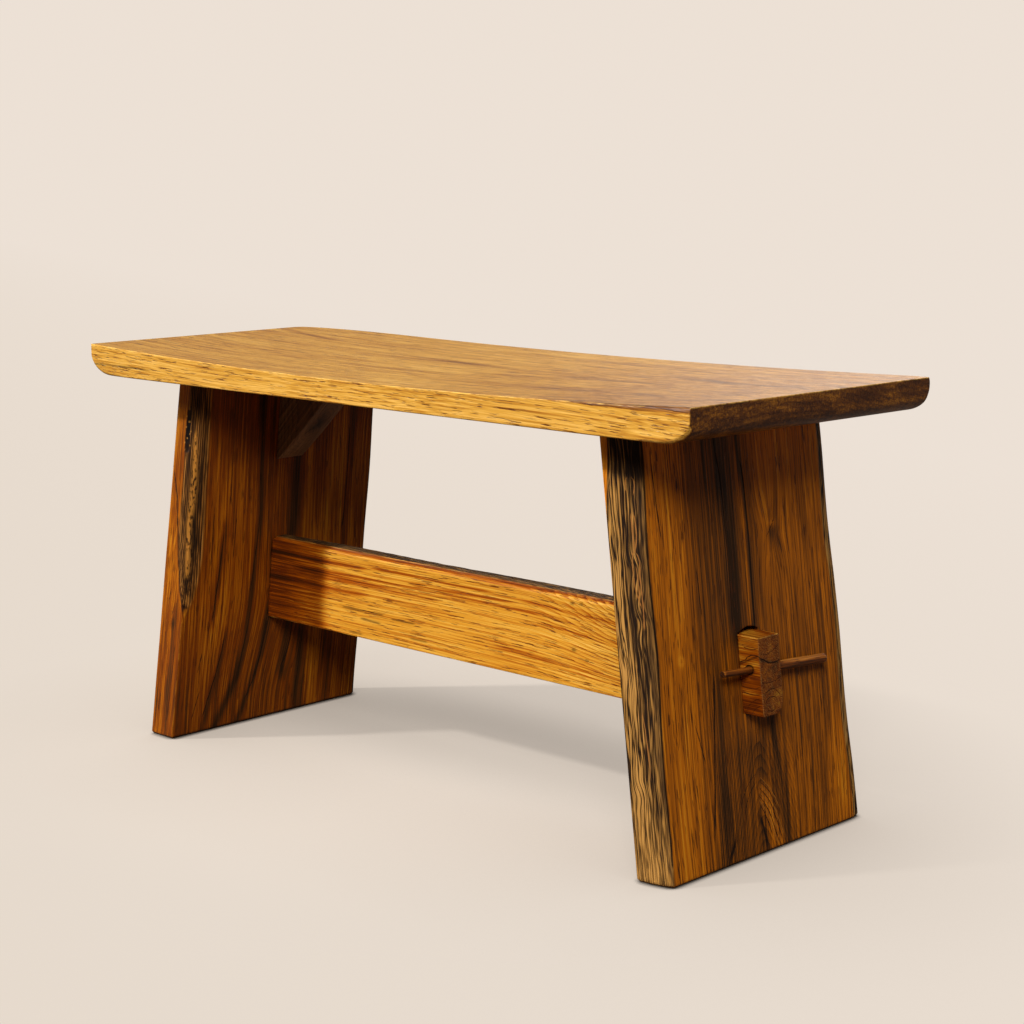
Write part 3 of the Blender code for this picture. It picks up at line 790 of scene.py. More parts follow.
def bark_place(u, z):
    """The furrows' own place across the edge, u from the inner face, drawn aside by three swirls."""
    aside = 0.0026 * ripples(z * 14.0, 0.0, 0.0, 41.0) + 0.0012 * ripples(z * 40.0, u * 90.0, 0.0, 45.0)
    for height, middle, reach, turn in (
        (0.3, 0.026, 0.0034, 110.0), (0.25, 0.028, 0.003, 130.0), (0.088, 0.011, 0.0038, 120.0),
    ):
        aside = aside + reach * spot(z, u, (height, middle), (0.018, 0.008)) * np.sin((z - height) * turn)
    return u + aside


def furrow_tone(u, z):
    """From -1 in a furrow to 1 on a crest."""
    place = bark_place(u, z)
    broad = ripples(place * 260.0, z * 11.0, 0.0, 42.0)
    fine = ripples(place * 520.0, z * 34.0, 0.0, 43.0)
    return np.clip(1.5 * broad + 0.8 * fine, -1.0, 1.0)


def smooth_strip(w):
    """The outer rim of the live edge, worn smooth and grey."""
    return faded(w, 0.0042, 0.007)


def planed_strip(climbed):
    """How wide the live edge's planed strip along the inner face is."""
    return mix(0.0025, 0.0085, eased(climbed, 0.77, 1.0))


def right_edges(w, z):
    climbed = z / leg_top
    front = -right_front_reach
    back = mix(*right_back_reach, climbed)
    planed = planed_strip(climbed)
    along = mix(0.007, 0.013, climbed) * wave(climbed, 0.1)
    u = leg_depth - w
    front = front + worn_off(w, leg_depth - planed, along)
    live = eased(u, planed, planed + 0.002)
    middle = strand(z, u, [(0.02, 0.022, 0.012), (0.4, 0.021, 0.012)], 0.03)
    depth = (0.0003 + 0.0007 * middle) * (1.0 - 0.8 * smooth_strip(w))
    front = front - live * depth * (furrow_tone(u, z) - 0.4)
    front = front + live * 0.0006 * ripples(z * 30.0, w * 60.0, 0.0, 46.0)
    back_wave = wave(climbed, 0.6)
    back_run, back_depth = right_back_wane
    back = back - worn_off(w, back_run * back_wave, back_depth * back_wave)
    back = back - 0.0005 * (ripples(w * 160.0, z * 22.0, 0.0, 44.0) + 0.4) * faded(w, 0.012, 0.018)
    return front, back


right_leg = slab_leg("right_leg_slab", 1, right_edges, sawn(51.0), sawn(53.0))
cut_through(right_leg, mortise_rows(1))
x, y, z = points_of(right_leg)
w = outer_face(z) - x
u = leg_depth - w
climbed = z / leg_top
front, _ = right_edges(w, z)
on_front = faded(y - front, 0.0005, 0.0014)
on_outer = faded(w, 0.05 * leg_depth, 0.45 * leg_depth) * (1.0 - on_front)

knot_height, knot_depth = 0.305, 0.051
curl = 0.01 * spot(z, y, (knot_height, knot_depth), (0.03, 0.022)) * np.tanh((y - knot_depth) / 0.005)
sway = 0.006 * ripples(z * 4.0, y * 9.0, 0.0, 61.0) + curl
aside = (bark_place(u, z) - u) * on_front
note(right_leg, "grain_place", [z, 0.6 * (y + sway), u + aside])
lift = 0.34 * np.minimum(z, 0.11) + 0.02 * z
arch = np.hypot(y + 0.3 * sway - 0.004, 0.012 + 0.3 * w) + lift
foot = faded(z, 0.09, 0.15)
plain = (y + sway) / 0.007 + 2.4 * ripples(z * 2.5, y * 11.0, w * 30.0, 64.0)
curled = arch / 0.0042 + 0.8 * ripples(z * 12.0, y * 20.0, 0.0, 66.0)
in_curl = foot * faded(np.abs(y), 0.05, 0.075)
smooth = on_front * np.maximum(smooth_strip(w), 0.5 * faded(z, 0.03, 0.1))
phase = np.where(in_curl > 0.5, curled, plain)
note(right_leg, "rings", [phase, 0.15 + 0.07 * in_curl * (in_curl > 0.5), smooth])

tone = 0.54 + 0.1 * ripples(z * 4.0, y * 26.0, w * 20.0, 65.0)
tone -= 0.25 * faded(y, -0.085, -0.062) * on_outer
tone -= 0.12 * eased(y, 0.025, 0.06) * on_outer
# Lighter at the top back of the outer face: painted light standing in for light reaching beneath the seat
# there.
tone -= 0.22 * eased(y, 0.02, 0.06) * eased(z, 0.29, 0.36) * on_outer
tone -= 0.24 * spot(z, y, (0.045, 0.137), (0.045, 0.012)) * on_outer
tone += 0.2 * strand(z, y, [(0.0, 0.005, 0.055), (0.1, 0.0, 0.038)], 0.03) * on_outer
right_outer_veins = (
    (0.42, (0.215, -0.01, 0.008), (0.247, -0.012, 0.008), (0.285, -0.01, 0.008), (0.322, -0.01, 0.009),
     (0.359, -0.016, 0.01), (0.41, -0.018, 0.012)),
    (0.2, (0.23, -0.018, 0.003), (0.3, -0.018, 0.003), (0.4, -0.026, 0.004)),
    (0.34, (0.215, 0.015, 0.003), (0.315, 0.0155, 0.003), (0.375, 0.01, 0.003), (0.41, 0.008, 0.003)),
    (0.1, (0.215, 0.012, 0.008), (0.3, 0.012, 0.008)),
    (0.3, (0.0, 0.041, 0.003), (0.05, 0.042, 0.003), (0.09, 0.035, 0.004), (0.14, 0.024, 0.006)),
    (0.14, (0.23, 0.06, 0.003), (0.4, 0.062, 0.003)),
    (0.14, (0.1, 0.075, 0.003), (0.4, 0.076, 0.003)),
    (0.14, (0.05, 0.09, 0.003), (0.36, 0.091, 0.003)),
    (0.14, (0.02, 0.102, 0.003), (0.4, 0.1, 0.003)),
    (0.2, (0.0, -0.058, 0.007), (0.12, -0.05, 0.008), (0.4, -0.045, 0.007)),
    (0.16, (0.25, -0.068, 0.003), (0.4, -0.07, 0.004)),
    (0.18, (0.215, -0.03, 0.006), (0.4, -0.034, 0.006)),
    (-0.22, (0.23, 0.01, 0.003), (0.35, 0.01, 0.003)),
    (0.1, (0.1, 0.12, 0.004), (0.3, 0.113, 0.004)),
    (-0.42, (0.004, 0.026, 0.011), (0.03, 0.019, 0.011), (0.058, 0.008, 0.009)),
    (0.08, (0.01, -0.04, 0.012), (0.06, -0.04, 0.014)),
)
tone += veins(z, y, right_outer_veins, 0.02) * on_outer
tone += on_outer * spots(
    z, y, (0.36, (0.303, 0.051), (0.01, 0.005)), (-0.34, (0.311, 0.053), (0.004, 0.006)),
    (-0.4, (0.203, -0.098), (0.005, 0.004)), (0.4, (0.203, -0.098), (0.002, 0.0018)),
)
planed = planed_strip(climbed)
tone = mix(tone, 0.1, on_front * faded(u, planed - 0.001, planed + 0.001) * eased(z, 0.3, 0.33))
# The lowest two millimetres of the foot turn almost black: a painted contact shadow where the leg meets the
# floor.
tone = mix(tone, 1.15, faded(z, 0.001, 0.0026))
note(right_leg, "figure", [tone, 0.0, 0.0])
note(right_leg, "outer_face", on_outer)
note(right_leg, "front_edge", on_front)

bark_start = mix(-0.001, 0.0085, eased(climbed, 0.77, 1.0))
cover = on_front * eased(u, bark_start, bark_start + 0.0012)
back_front = mix(*right_back_reach, climbed) - right_back_wane[1] * wave(climbed, 0.6)
back_cover = eased(y, back_front - 0.001, back_front + 0.0012) * faded(w, 0.01, 0.016)
crest = 0.56 + 0.06 * furrow_tone(u, z)
inner_ridge = [(0.0, 0.01, 0.009), (0.16, 0.01, 0.009), (0.28, 0.006, 0.006), (0.38, 0.008, 0.005)]
crest += 0.36 * strand(z, u, inner_ridge, 0.03)
crest -= 0.18 * strand(z, u, [(0.16, 0.024, 0.005), (0.25, 0.019, 0.005), (0.4, 0.0165, 0.004)], 0.04)
crest -= 0.1 * strand(z, u, [(0.18, 0.031, 0.003), (0.41, 0.0315, 0.003)], 0.03)
crest += 0.14 * strand(z, u, [(0.27, 0.0245, 0.004), (0.375, 0.0245, 0.004)], 0.02)
# Darker crests near the top of the live edge: painted shadow carrying the seat's shadow further down the
# edge.
crest -= 0.4 * eased(z, 0.368, 0.38)
crest += 0.24 * faded(z, 0.03, 0.08) * eased(u, 0.012, 0.022)
crest -= 0.18 * smooth_strip(w)
crest += 0.06 * faded(w, 0.001, 0.004)
crest -= 0.2 * strand(z, w, [(0.0, 0.0085, 0.0018), (0.41, 0.009, 0.002)], 0.01)
crest -= spots(z, u, (0.3, (0.03, 0.008), (0.007, 0.003)), (0.25, (0.022, 0.012), (0.005, 0.0024)))
# The back wane strip gets a pale crest: partly its grey weathered wood, partly painted light on a strip
# that faces away from the lamps.
crest = np.where(back_cover > cover, 0.85, crest)
note(right_leg, "wane", [np.maximum(cover, back_cover), crest, 0.0])


def on_right_front(*lines):
    """Lines of the right leg's front edge, with their depths from the inner face turned into x."""
    return [
        (half_width, *((height, inner_face(height) + depth) for height, depth in points))
        for half_width, *points in lines
    ]


bast_lines = on_right_front(
    (0.0008, (0.31, 0.0265), (0.325, 0.0262), (0.341, 0.0258)),
    (0.0008, (0.306, 0.0262), (0.316, 0.029), (0.33, 0.0292), (0.342, 0.028)),
    (0.0007, (0.238, 0.03), (0.262, 0.0306), (0.281, 0.0298), (0.298, 0.0306), (0.307, 0.028)),
    (0.0008, (0.258, 0.029), (0.268, 0.0262), (0.283, 0.024), (0.3, 0.0238), (0.308, 0.0258)),
    (0.0006, (0.262, 0.0272), (0.276, 0.028), (0.294, 0.0272)),
    (0.0006, (0.362, 0.024), (0.369, 0.0232), (0.374, 0.025)),
    (0.0006, (0.36, 0.029), (0.368, 0.0302), (0.374, 0.0285)),
    (0.0006, (0.1, 0.025), (0.13, 0.0245), (0.16, 0.0215)),
)
right_outer_lines = (
    (0.001, (0.318, -0.1115), (0.35, -0.1145), (0.388, -0.1175)),
    (0.0008, (0.24, -0.063), (0.282, -0.0655)),
    (0.0008, (0.105, -0.075), (0.14, -0.085)),
    (0.0016, (0.03, -0.0705), (0.068, -0.0658), (0.104, -0.0611), (0.146, -0.0557), (0.18, -0.053)),
    (0.003, (0.003, 0.01), (0.012, 0.0085), (0.023, 0.005), (0.04, -0.002)),
    (0.0044, (0.026, 0.003), (0.037, -0.002)),
    (0.0028, (0.003, -0.05), (0.012, -0.0455), (0.026, -0.0385)),
    (0.0012, (0.215, 0.015), (0.243, 0.015), (0.315, 0.0155), (0.375, 0.01)),
    (0.001, (0.225, -0.018), (0.3, -0.018), (0.4, -0.026)),
    (0.0007, (0.01, 0.0315), (0.028, 0.0255), (0.048, 0.0165), (0.063, 0.003)),
    (0.0007, (0.007, 0.0265), (0.022, 0.021), (0.042, 0.0125), (0.056, 0.0015)),
    (0.0007, (0.035, 0.029), (0.054, 0.0195), (0.069, 0.005)),
    (0.0007, (0.016, 0.0165), (0.034, 0.01), (0.048, 0.001)),
    (0.0007, (0.045, -0.022), (0.06, -0.014), (0.07, -0.003)),
    (0.0007, (0.05, -0.028), (0.066, -0.019), (0.078, -0.003)),
    (0.0007, (0.06, 0.005), (0.12, 0.004)),
    (0.0007, (0.3, 0.044), (0.308, 0.052), (0.316, 0.058)),
)
curl_crests = (
    (0.0009, (0.008, 0.029), (0.025, 0.023), (0.045, 0.0145), (0.06, 0.002)),
    (0.0009, (0.012, 0.0345), (0.03, 0.028), (0.05, 0.0185), (0.066, 0.004)),
    (0.0009, (0.006, 0.024), (0.02, 0.019), (0.038, 0.0115), (0.052, 0.001)),
    (0.0008, (0.04, 0.0305), (0.058, 0.02), (0.073, 0.006)),
)
right_rim_depth = leg_depth - 0.0006
right_rim_lines = on_right_front((0.0007, (0.02, right_rim_depth), (0.41, right_rim_depth)))
weathered_crests = (
    (0.0, (0.014, 0.006, 0.002)), (0.25, (0.054, 0.024, 0.006)), (0.5, (0.17, 0.077, 0.018)),
    (0.75, (0.33, 0.155, 0.031)), (1.0, (0.49, 0.24, 0.056)),
)
right_leg.data.materials.append(timber("right_leg_brown_wood", (
    (0.0, (0.72, 0.26, 0.012)), (0.22, (0.55, 0.152, 0.004)), (0.5, (0.26, 0.072, 0.004)),
    (0.8, (0.076, 0.027, 0.006)), (1.0, (0.026, 0.011, 0.004)),
), streak=0.38, fibre=0.95, pores=0.7, roughness=0.46, gloss=0.13, wane=(
    weathered_crests, (0.5, 0.2, 0.035), 235.0, 3.6,
), drawn=(
    ("outer_face", "ZY", (0.014, 0.006, 0.003), right_outer_lines),
    ("front_edge", "ZX", (0.34, 0.135, 0.03), bast_lines),
    ("outer_face", "ZY", (0.36, 0.128, 0.016), curl_crests),
    ("front_edge", "ZX", (0.012, 0.006, 0.003), right_rim_lines),
)))
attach(right_leg, "bench")
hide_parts("leg_right")

# Stretcher
# A board on edge, sawn from paler wood, with a strip of wane left along its upper back. Its tenons
# pass right through the legs and stand proud outside them, where the pegs cross them.

board_half = 0.0175
board_near = stretcher_centre - board_half
board_far = stretcher_centre + board_half
board_bottom = 0.1255
board_top = 0.222
board_wane = 0.017
board_wane_drop = (0.009, 0.003)
board_chamfer = 0.006
tenon_reach = 0.0235
tenon_worn_run = 0.013
tenon_worn_depth = 0.0104
board_end = 0.102
tenon_share = 0.0001


def stretcher_place(across, deep, high):
    """The middle shares across are the board, and the outer ones on each side are the tenons."""
    side = np.sign(across - 0.5)
    from_end = 0.5 - np.abs(across - 0.5)
    tenon = from_end < board_end
    length_share = np.clip((across - board_end) / (1.0 - 2.0 * board_end), 0.0, 1.0)
    y = mix(board_near, board_far, deep)
    along = board_wane * wave(length_share, 0.3)
    z_top = board_top - worn_off(board_far - y, along, mix(*board_wane_drop, length_share))
    z_top = z_top + 0.0003 * ripples(across * 60.0, y * 160.0, 0.0, 71.0)
    z = np.where(tenon, mix(tenon_bottom, tenon_top, high), mix(board_bottom, z_top, high))
    y = y + board_chamfer * eased(z, board_top - 0.0046, board_top - 0.0006) * (1.0 - deep)
    y = np.where(tenon, mix(stretcher_centre - tenon_half, stretcher_centre + tenon_half, deep), y)
    worn = worn_off(z - tenon_bottom, tenon_worn_run, tenon_worn_depth)
    y = y - np.where(tenon & (side > 0), worn, 0.0) * deep
    shoulder = inner_face(z) - fit_gap
    tenon_end = outer_face(z) + tenon_reach
    board_x = mix(-shoulder, shoulder, length_share)
    tenon_x = side * mix(tenon_end, shoulder, np.clip(from_end / (board_end - tenon_share), 0.0, 1.0))
    return np.where(tenon, tenon_x, board_x), y, z


tenon_lines = np.concatenate([[0.0, 0.0015], np.linspace(0.0022, board_end - tenon_share, 34)])
board_lines = np.linspace(board_end + 0.0008, 1.0 - board_end - 0.0008, 262)
stretcher_across = np.concatenate([
    tenon_lines, [board_end], board_lines, [1.0 - board_end], (1.0 - tenon_lines)[::-1],
])
stretcher_deep = grid_lines((0.001, 1), (0.033, 30), (0.001, 1))
stretcher_high = grid_lines((0.001, 1), (0.0945, 70), (0.001, 1))
stretcher = block_skin("stretcher_board", stretcher_across, stretcher_deep, stretcher_high, stretcher_place)

peg_length = 0.164
peg_before_tenon = 0.0424
peg_drop = 0.0126
peg_hole_radius = 0.0043
peg_hole_run = (0.03, 0.09)
peg_rise_share = 0.577
peg_reach_share = 0.447
peg_height = mix(tenon_bottom, tenon_top, peg_rise_share)
peg_across = outer_face(peg_height) + tenon_reach * peg_reach_share
peg_tilt = math.asin(peg_drop / peg_length)
peg_along = Vector((0.0, math.cos(peg_tilt), -math.sin(peg_tilt)))
peg_up = Vector((0.0, math.sin(peg_tilt), math.cos(peg_tilt)))
peg_right = Vector((1.0, 0.0, 0.0))


def peg_start(side):
    """Where the thin end of the peg at a side starts."""
    middle = Vector((side * peg_across, stretcher_centre - tenon_half, peg_height))
    return middle - peg_along * peg_before_tenon


for side in (-1, 1):
    rows = []
    for distance in peg_hole_run:
        ring = []
        for turn in np.linspace(0.0, math.tau, 32, endpoint=False):
            spoke = peg_right * math.cos(turn) + peg_up * math.sin(turn)
            ring.append(tuple(peg_start(side) + peg_along * distance + spoke * peg_hole_radius))
        rows.append(ring)
    cut_through(stretcher, rows)

x, y, z = points_of(stretcher)
side = np.sign(x)
out = np.abs(x) - outer_face(z)
on_tenon = (out > -0.038).astype(float)
on_near = faded(y - board_near, 0.0008, 0.004) * (1.0 - on_tenon)
bend = 0.012 * eased(x, 0.08, 0.3) * (z - 0.11) / 0.11
sway = 0.006 * ripples(x * 3.0, z * 10.0, 0.0, 81.0)
note(stretcher, "grain_place", [x, z + sway + 2.2 * bend, y])
rings = (z + 5.5 * bend + 0.02 * x * x) / 0.0052 + 1.4 * ripples(x * 2.0, z * 22.0, y * 20.0, 84.0)
end_rings = np.hypot(y - 0.012, z - 0.15) / 0.0042
phase = np.where((out > tenon_reach - 0.001) & (on_tenon > 0), end_rings, rings)
ring_share = mix(0.1, 0.3, eased(x, 0.06, 0.2)) * (1.0 - on_tenon) + 0.06 * on_tenon
note(stretcher, "rings", [phase, ring_share, 0.0])
# The tenons' upper arrises are lightened far more than their lower ones: a painted highlight along their
# top edges, on top of wear.
arris_wear_and_highlight = np.zeros(len(x), np.float32)
stretcher.data.attributes["arris"].data.foreach_get("value", arris_wear_and_highlight)
highlit_upper_arris = eased(z, tenon_top - 0.0022, tenon_top - 0.0012)
note(stretcher, "arris", arris_wear_and_highlight * mix(1.0, mix(0.35, 1.8, highlit_upper_arris), on_tenon))

tone = 0.3 + 0.07 * ripples(x * 3.0, z * 40.0, y * 30.0, 85.0)
shaded_end = 0.27 * faded(x, -0.245, -0.215) + 0.16 * faded(x, -0.31, -0.26)
tone += shaded_end * (1.0 - on_tenon)
board_veins = (
    (0.35, (-0.33, 0.2055, 0.003), (-0.18, 0.2055, 0.002)),
    (0.26, (-0.26, 0.19, 0.003), (-0.06, 0.1865, 0.0025)),
    (0.26, (-0.32, 0.1765, 0.006), (-0.175, 0.175, 0.004)),
    (0.4, (-0.13, 0.208, 0.0014), (0.02, 0.208, 0.0012)),
    (0.3, (-0.07, 0.198, 0.0012), (0.05, 0.201, 0.0012)),
    (0.24, (-0.26, 0.194, 0.0012), (0.09, 0.195, 0.0014)),
    (0.22, (0.1, 0.205, 0.0016), (0.2, 0.201, 0.0016), (0.3, 0.188, 0.0016)),
    (0.2, (0.12, 0.185, 0.0016), (0.22, 0.178, 0.0016), (0.31, 0.16, 0.0016)),
    (0.2, (0.06, 0.15, 0.0016), (0.2, 0.143, 0.0016), (0.3, 0.13, 0.0016)),
)
tone += veins(x, z, board_veins, 0.03) * on_near
saw_nicks = (
    (0.8, (-0.195, 0.157, 0.001), (-0.165, 0.157, 0.001)),
    (0.8, (-0.15, 0.157, 0.0009), (-0.135, 0.157, 0.0009)),
    (0.8, (-0.115, 0.155, 0.0009), (-0.085, 0.155, 0.0009)),
    (0.8, (-0.165, 0.148, 0.001), (-0.14, 0.147, 0.001)),
    (0.8, (-0.085, 0.138, 0.0009), (-0.065, 0.138, 0.0009)),
    (0.8, (-0.185, 0.13, 0.0009), (-0.17, 0.13, 0.0009)),
)
mark = veins(x, z, saw_nicks, 0.006) * on_near
mark += on_near * spots(
    x, z, (0.8, (0.152, 0.165), (0.003, 0.0022)), (0.8, (0.15, 0.213), (0.0022, 0.0016)),
    (0.8, (0.162, 0.214), (0.0022, 0.0016)), (0.7, (0.17, 0.157), (0.0018, 0.0016)),
)
tone += 0.2 * eased(y, board_far - 0.02, board_far - 0.006) * eased(z, 0.205, 0.212) * (1.0 - on_tenon)
at_end = eased(out, tenon_reach - 0.0012, tenon_reach - 0.0004)
curls = ripples(x * 60.0 + 2.0 * ripples(y * 60.0, z * 60.0, 0.0, 89.0), y * 90.0, z * 110.0, 87.0)
cheek_tone = mix(0.72, 0.51, eased(z, 0.16, 0.19))
end_tone = 0.7 - 0.05 * eased(z, 0.185, 0.2)
tone = np.where(on_tenon > 0, mix(cheek_tone, end_tone, at_end) + 0.22 * curls, tone)
knob = eased(np.hypot((y - 0.01) / 0.0115, (z - 0.1525) / 0.0105), 1.05, 0.95)
tone -= 0.2 * knob * on_tenon * at_end
# A dark ring round the peg on the tenon's cheek: painted shade in the gap of the peg's hole.
round_peg = np.hypot(np.abs(x) - peg_across, z - peg_height)
mark += 0.95 * on_tenon * faded(round_peg, 0.0048, 0.006) * (1.0 - at_end)
side_crack = strand(out, z, [(-0.002, 0.185, 0.001), (0.008, 0.19, 0.001), (0.02, 0.196, 0.001)], 0.003)
end_crack = strand(y, z, [
    (-0.015, 0.197, 0.001), (-0.01, 0.193, 0.001), (0.0, 0.19, 0.001), (0.015, 0.187, 0.001),
], 0.003)
tenon_crack = np.where(at_end > 0.5, end_crack, side_crack * (y < board_near + 0.003))
mark += 0.9 * on_tenon * (side > 0) * tenon_crack
chamfer = eased(z, board_top - 0.004, board_top - 0.0025) * (1.0 - on_tenon)
tone = mix(tone, 0.62 + 0.1 * ripples(x * 6.0, y * 260.0, 0.0, 86.0), chamfer)
note(stretcher, "figure", [tone, np.minimum(1.0, mark), 0.0])
back_strip = eased(y, board_near + 0.005, board_near + 0.0075) * (1.0 - on_tenon)
back_strip *= eased(z, board_top - 0.012, board_top - 0.009)
weathered_end = 0.45 * at_end * on_tenon
strip_crest = 0.4 + 0.15 * ripples(x * 40.0, y * 260.0, 0.0, 88.0) + 0.12 * at_end * on_tenon
note(stretcher, "wane", [np.maximum(back_strip, weathered_end), strip_crest, 0.0])
on_near_cheek = faded(y - (stretcher_centre - tenon_half), 0.0006, 0.002) * on_tenon
note(stretcher, "near_cheek", on_near_cheek * (side > 0))
note(stretcher, "tenon_end", at_end * on_tenon * (side > 0))
cheek_lines = (
    (0.0009, (0.36, 0.1865), (0.366, 0.1895), (0.372, 0.1945), (0.377, 0.1965), (0.385, 0.1955)),
    (0.0004, (0.365, 0.205), (0.372, 0.202), (0.382, 0.204)),
    (0.0004, (0.364, 0.168), (0.372, 0.164), (0.385, 0.167)),
    (0.0005, (0.365, 0.163), (0.373, 0.1585), (0.386, 0.16)),
    (0.0004, (0.37, 0.14), (0.376, 0.15), (0.386, 0.156)),
    (0.0004, (0.377, 0.1395), (0.381, 0.145), (0.387, 0.149)),
)
end_lines = (
    (0.0009, (-0.013, 0.1955), (-0.006, 0.1925), (0.002, 0.1885), (0.01, 0.1875), (0.019, 0.1895)),
    (0.0004, (-0.01, 0.2), (-0.002, 0.197), (0.008, 0.199), (0.018, 0.203)),
    (0.0004, (-0.011, 0.174), (0.0, 0.17), (0.018, 0.173)),
    (0.0006, (-0.01, 0.156), (-0.004, 0.162), (0.004, 0.1635), (0.011, 0.16), (0.016, 0.154)),
    (0.0005, (-0.007, 0.15), (-0.001, 0.156), (0.006, 0.1555), (0.01, 0.15)),
    (0.0005, (-0.006, 0.148), (0.0, 0.143), (0.007, 0.145)),
)
stretcher.data.materials.append(timber("stretcher_gold_wood", (
    (0.0, (0.8, 0.46, 0.08)), (0.3, (0.66, 0.29, 0.022)), (0.55, (0.36, 0.074, 0.001)),
    (0.8, (0.12, 0.02, 0.001)), (1.0, (0.034, 0.009, 0.002)),
), streak=0.22, fibre=0.74, pores=0.75, roughness=0.44, gloss=0.14, worn=0.55, wane=(
    weathered_crests, (0.009, 0.004, 0.002), 330.0, 4.0,
), drawn=(
    ("near_cheek", "XZ", (0.03, 0.009, 0.002), cheek_lines),
    ("tenon_end", "YZ", (0.014, 0.006, 0.003), end_lines),
)))
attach(stretcher, "bench")
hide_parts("stretcher")

# Pegs
# Each tenon is locked outside its leg by a tapered pin of reddish wood, whittled by knife so that
# long flats run down it. It is driven in from the back and holds by its taper.

peg_thin_radius = 0.0032
peg_thick_radius = 0.005


def whittled_peg(name, side, seed):
    """A pin of slightly uneven rings along its axis, with cut ends."""
    around = 40
    butt = [peg_length - 0.004, peg_length - 0.0022, peg_length - 0.0008, peg_length]
    distances = np.concatenate([[0.0, 0.0006, 0.0014], np.linspace(0.003, peg_length - 0.006, 96), butt])
    turns = np.linspace(0.0, math.tau, around, endpoint=False)
    distance, turn = np.meshgrid(distances, turns, indexing="ij")
    radius = mix(peg_thin_radius, peg_thick_radius, distance / peg_length)
    radius = radius + 0.0007 * eased(distance, 0.076, 0.084) * faded(distance, 0.09, 0.16)
    flats = 1.0 - 0.055 * np.abs(np.sin(3.5 * turn + seed + 1.2 * ripples(distance * 12.0, 0.0, 0.0, seed)))
    flats -= 0.03 * np.abs(ripples(distance * 60.0, np.cos(turn) * 1.5, np.sin(turn) * 1.5, seed + 5.0))
    radius = radius * np.minimum(1.0, flats)
    radius = radius * np.interp(distance, [0.0, 0.0014], [0.8, 1.0])
    radius = radius * np.interp(distance, butt, [1.0, 0.9, 0.7, 0.52])
    start = peg_start(side)
    points = [
        tuple(start + peg_along * d + peg_right * (r * math.cos(t)) + peg_up * (r * math.sin(t)))
        for d, t, r in zip(distance.ravel(), turn.ravel(), radius.ravel())
    ]
    faces = []
    rows = len(distances)
    for row in range(rows - 1):
        for k in range(around):
            n = (k + 1) % around
            here = row * around
            faces.append((here + n, here + k, here + around + k, here + around + n))
    for row, flip in ((0, False), (rows - 1, True)):
        centre = len(points)
        points.append(tuple(start + peg_along * float(distances[row])))
        for k in range(around):
            n = (k + 1) % around
            ring = (row * around + k, row * around + n, centre)
            faces.append(ring[::-1] if flip else ring)
    peg = new_piece(name, points, faces)
    peg.data.shade_smooth()
    peg.data.set_sharp_from_angle(angle=math.radians(50))
    x, y, z = points_of(peg)
    from_start = np.stack([x, y, z]).T - np.array(start)
    run = from_start @ np.array(peg_along)
    rise = from_start @ np.array(peg_up)
    note(peg, "grain_place", [run, x + 0.1 * side, rise])
    note(peg, "rings", [(rise + 0.4 * x) / 0.0016, 0.2, 0.0])
    ends = faded(run, 0.0002, 0.0012) + eased(run, peg_length - 0.004, peg_length - 0.001)
    tone = 0.61 + 0.14 * ripples(run * 30.0, x * 400.0, z * 400.0, seed) + 0.22 * ends
    tone += 0.12 * faded(run, 0.03, 0.05)
    tone -= 0.5 * np.exp(-((run - 0.0017) / 0.001) ** 2)
    # Lighter along the peg's top and darker along its underside: painted light and shade.
    tone += 0.16 * eased(-rise, -0.001, 0.003) - 0.14 * eased(rise, 0.001, 0.004)
    note(peg, "figure", [tone, 0.0, 0.0])
    return peg


peg_wood = timber("peg_red_wood", (
    (0.0, (0.62, 0.24, 0.03)), (0.3, (0.36, 0.105, 0.008)), (0.6, (0.19, 0.046, 0.002)),
    (0.85, (0.072, 0.017, 0.001)), (1.0, (0.024, 0.008, 0.002)),
), streak=0.9, fibre=1.7, pores=0.8, roughness=0.52)
for side_name, side in (("left", -1), ("right", 1)):
    peg = whittled_peg(f"whittled_peg_{side_name}", side, 3.0 + side)
    peg.data.materials.append(peg_wood)
    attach(peg, f"peg_{side_name}")
    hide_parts(f"peg_{side_name}")

# Corner blocks
# A three-cornered offcut of dark wood is glued into each angle between a leg and the seat. Its
# sloped face is left as it was split, with an old knot in it.

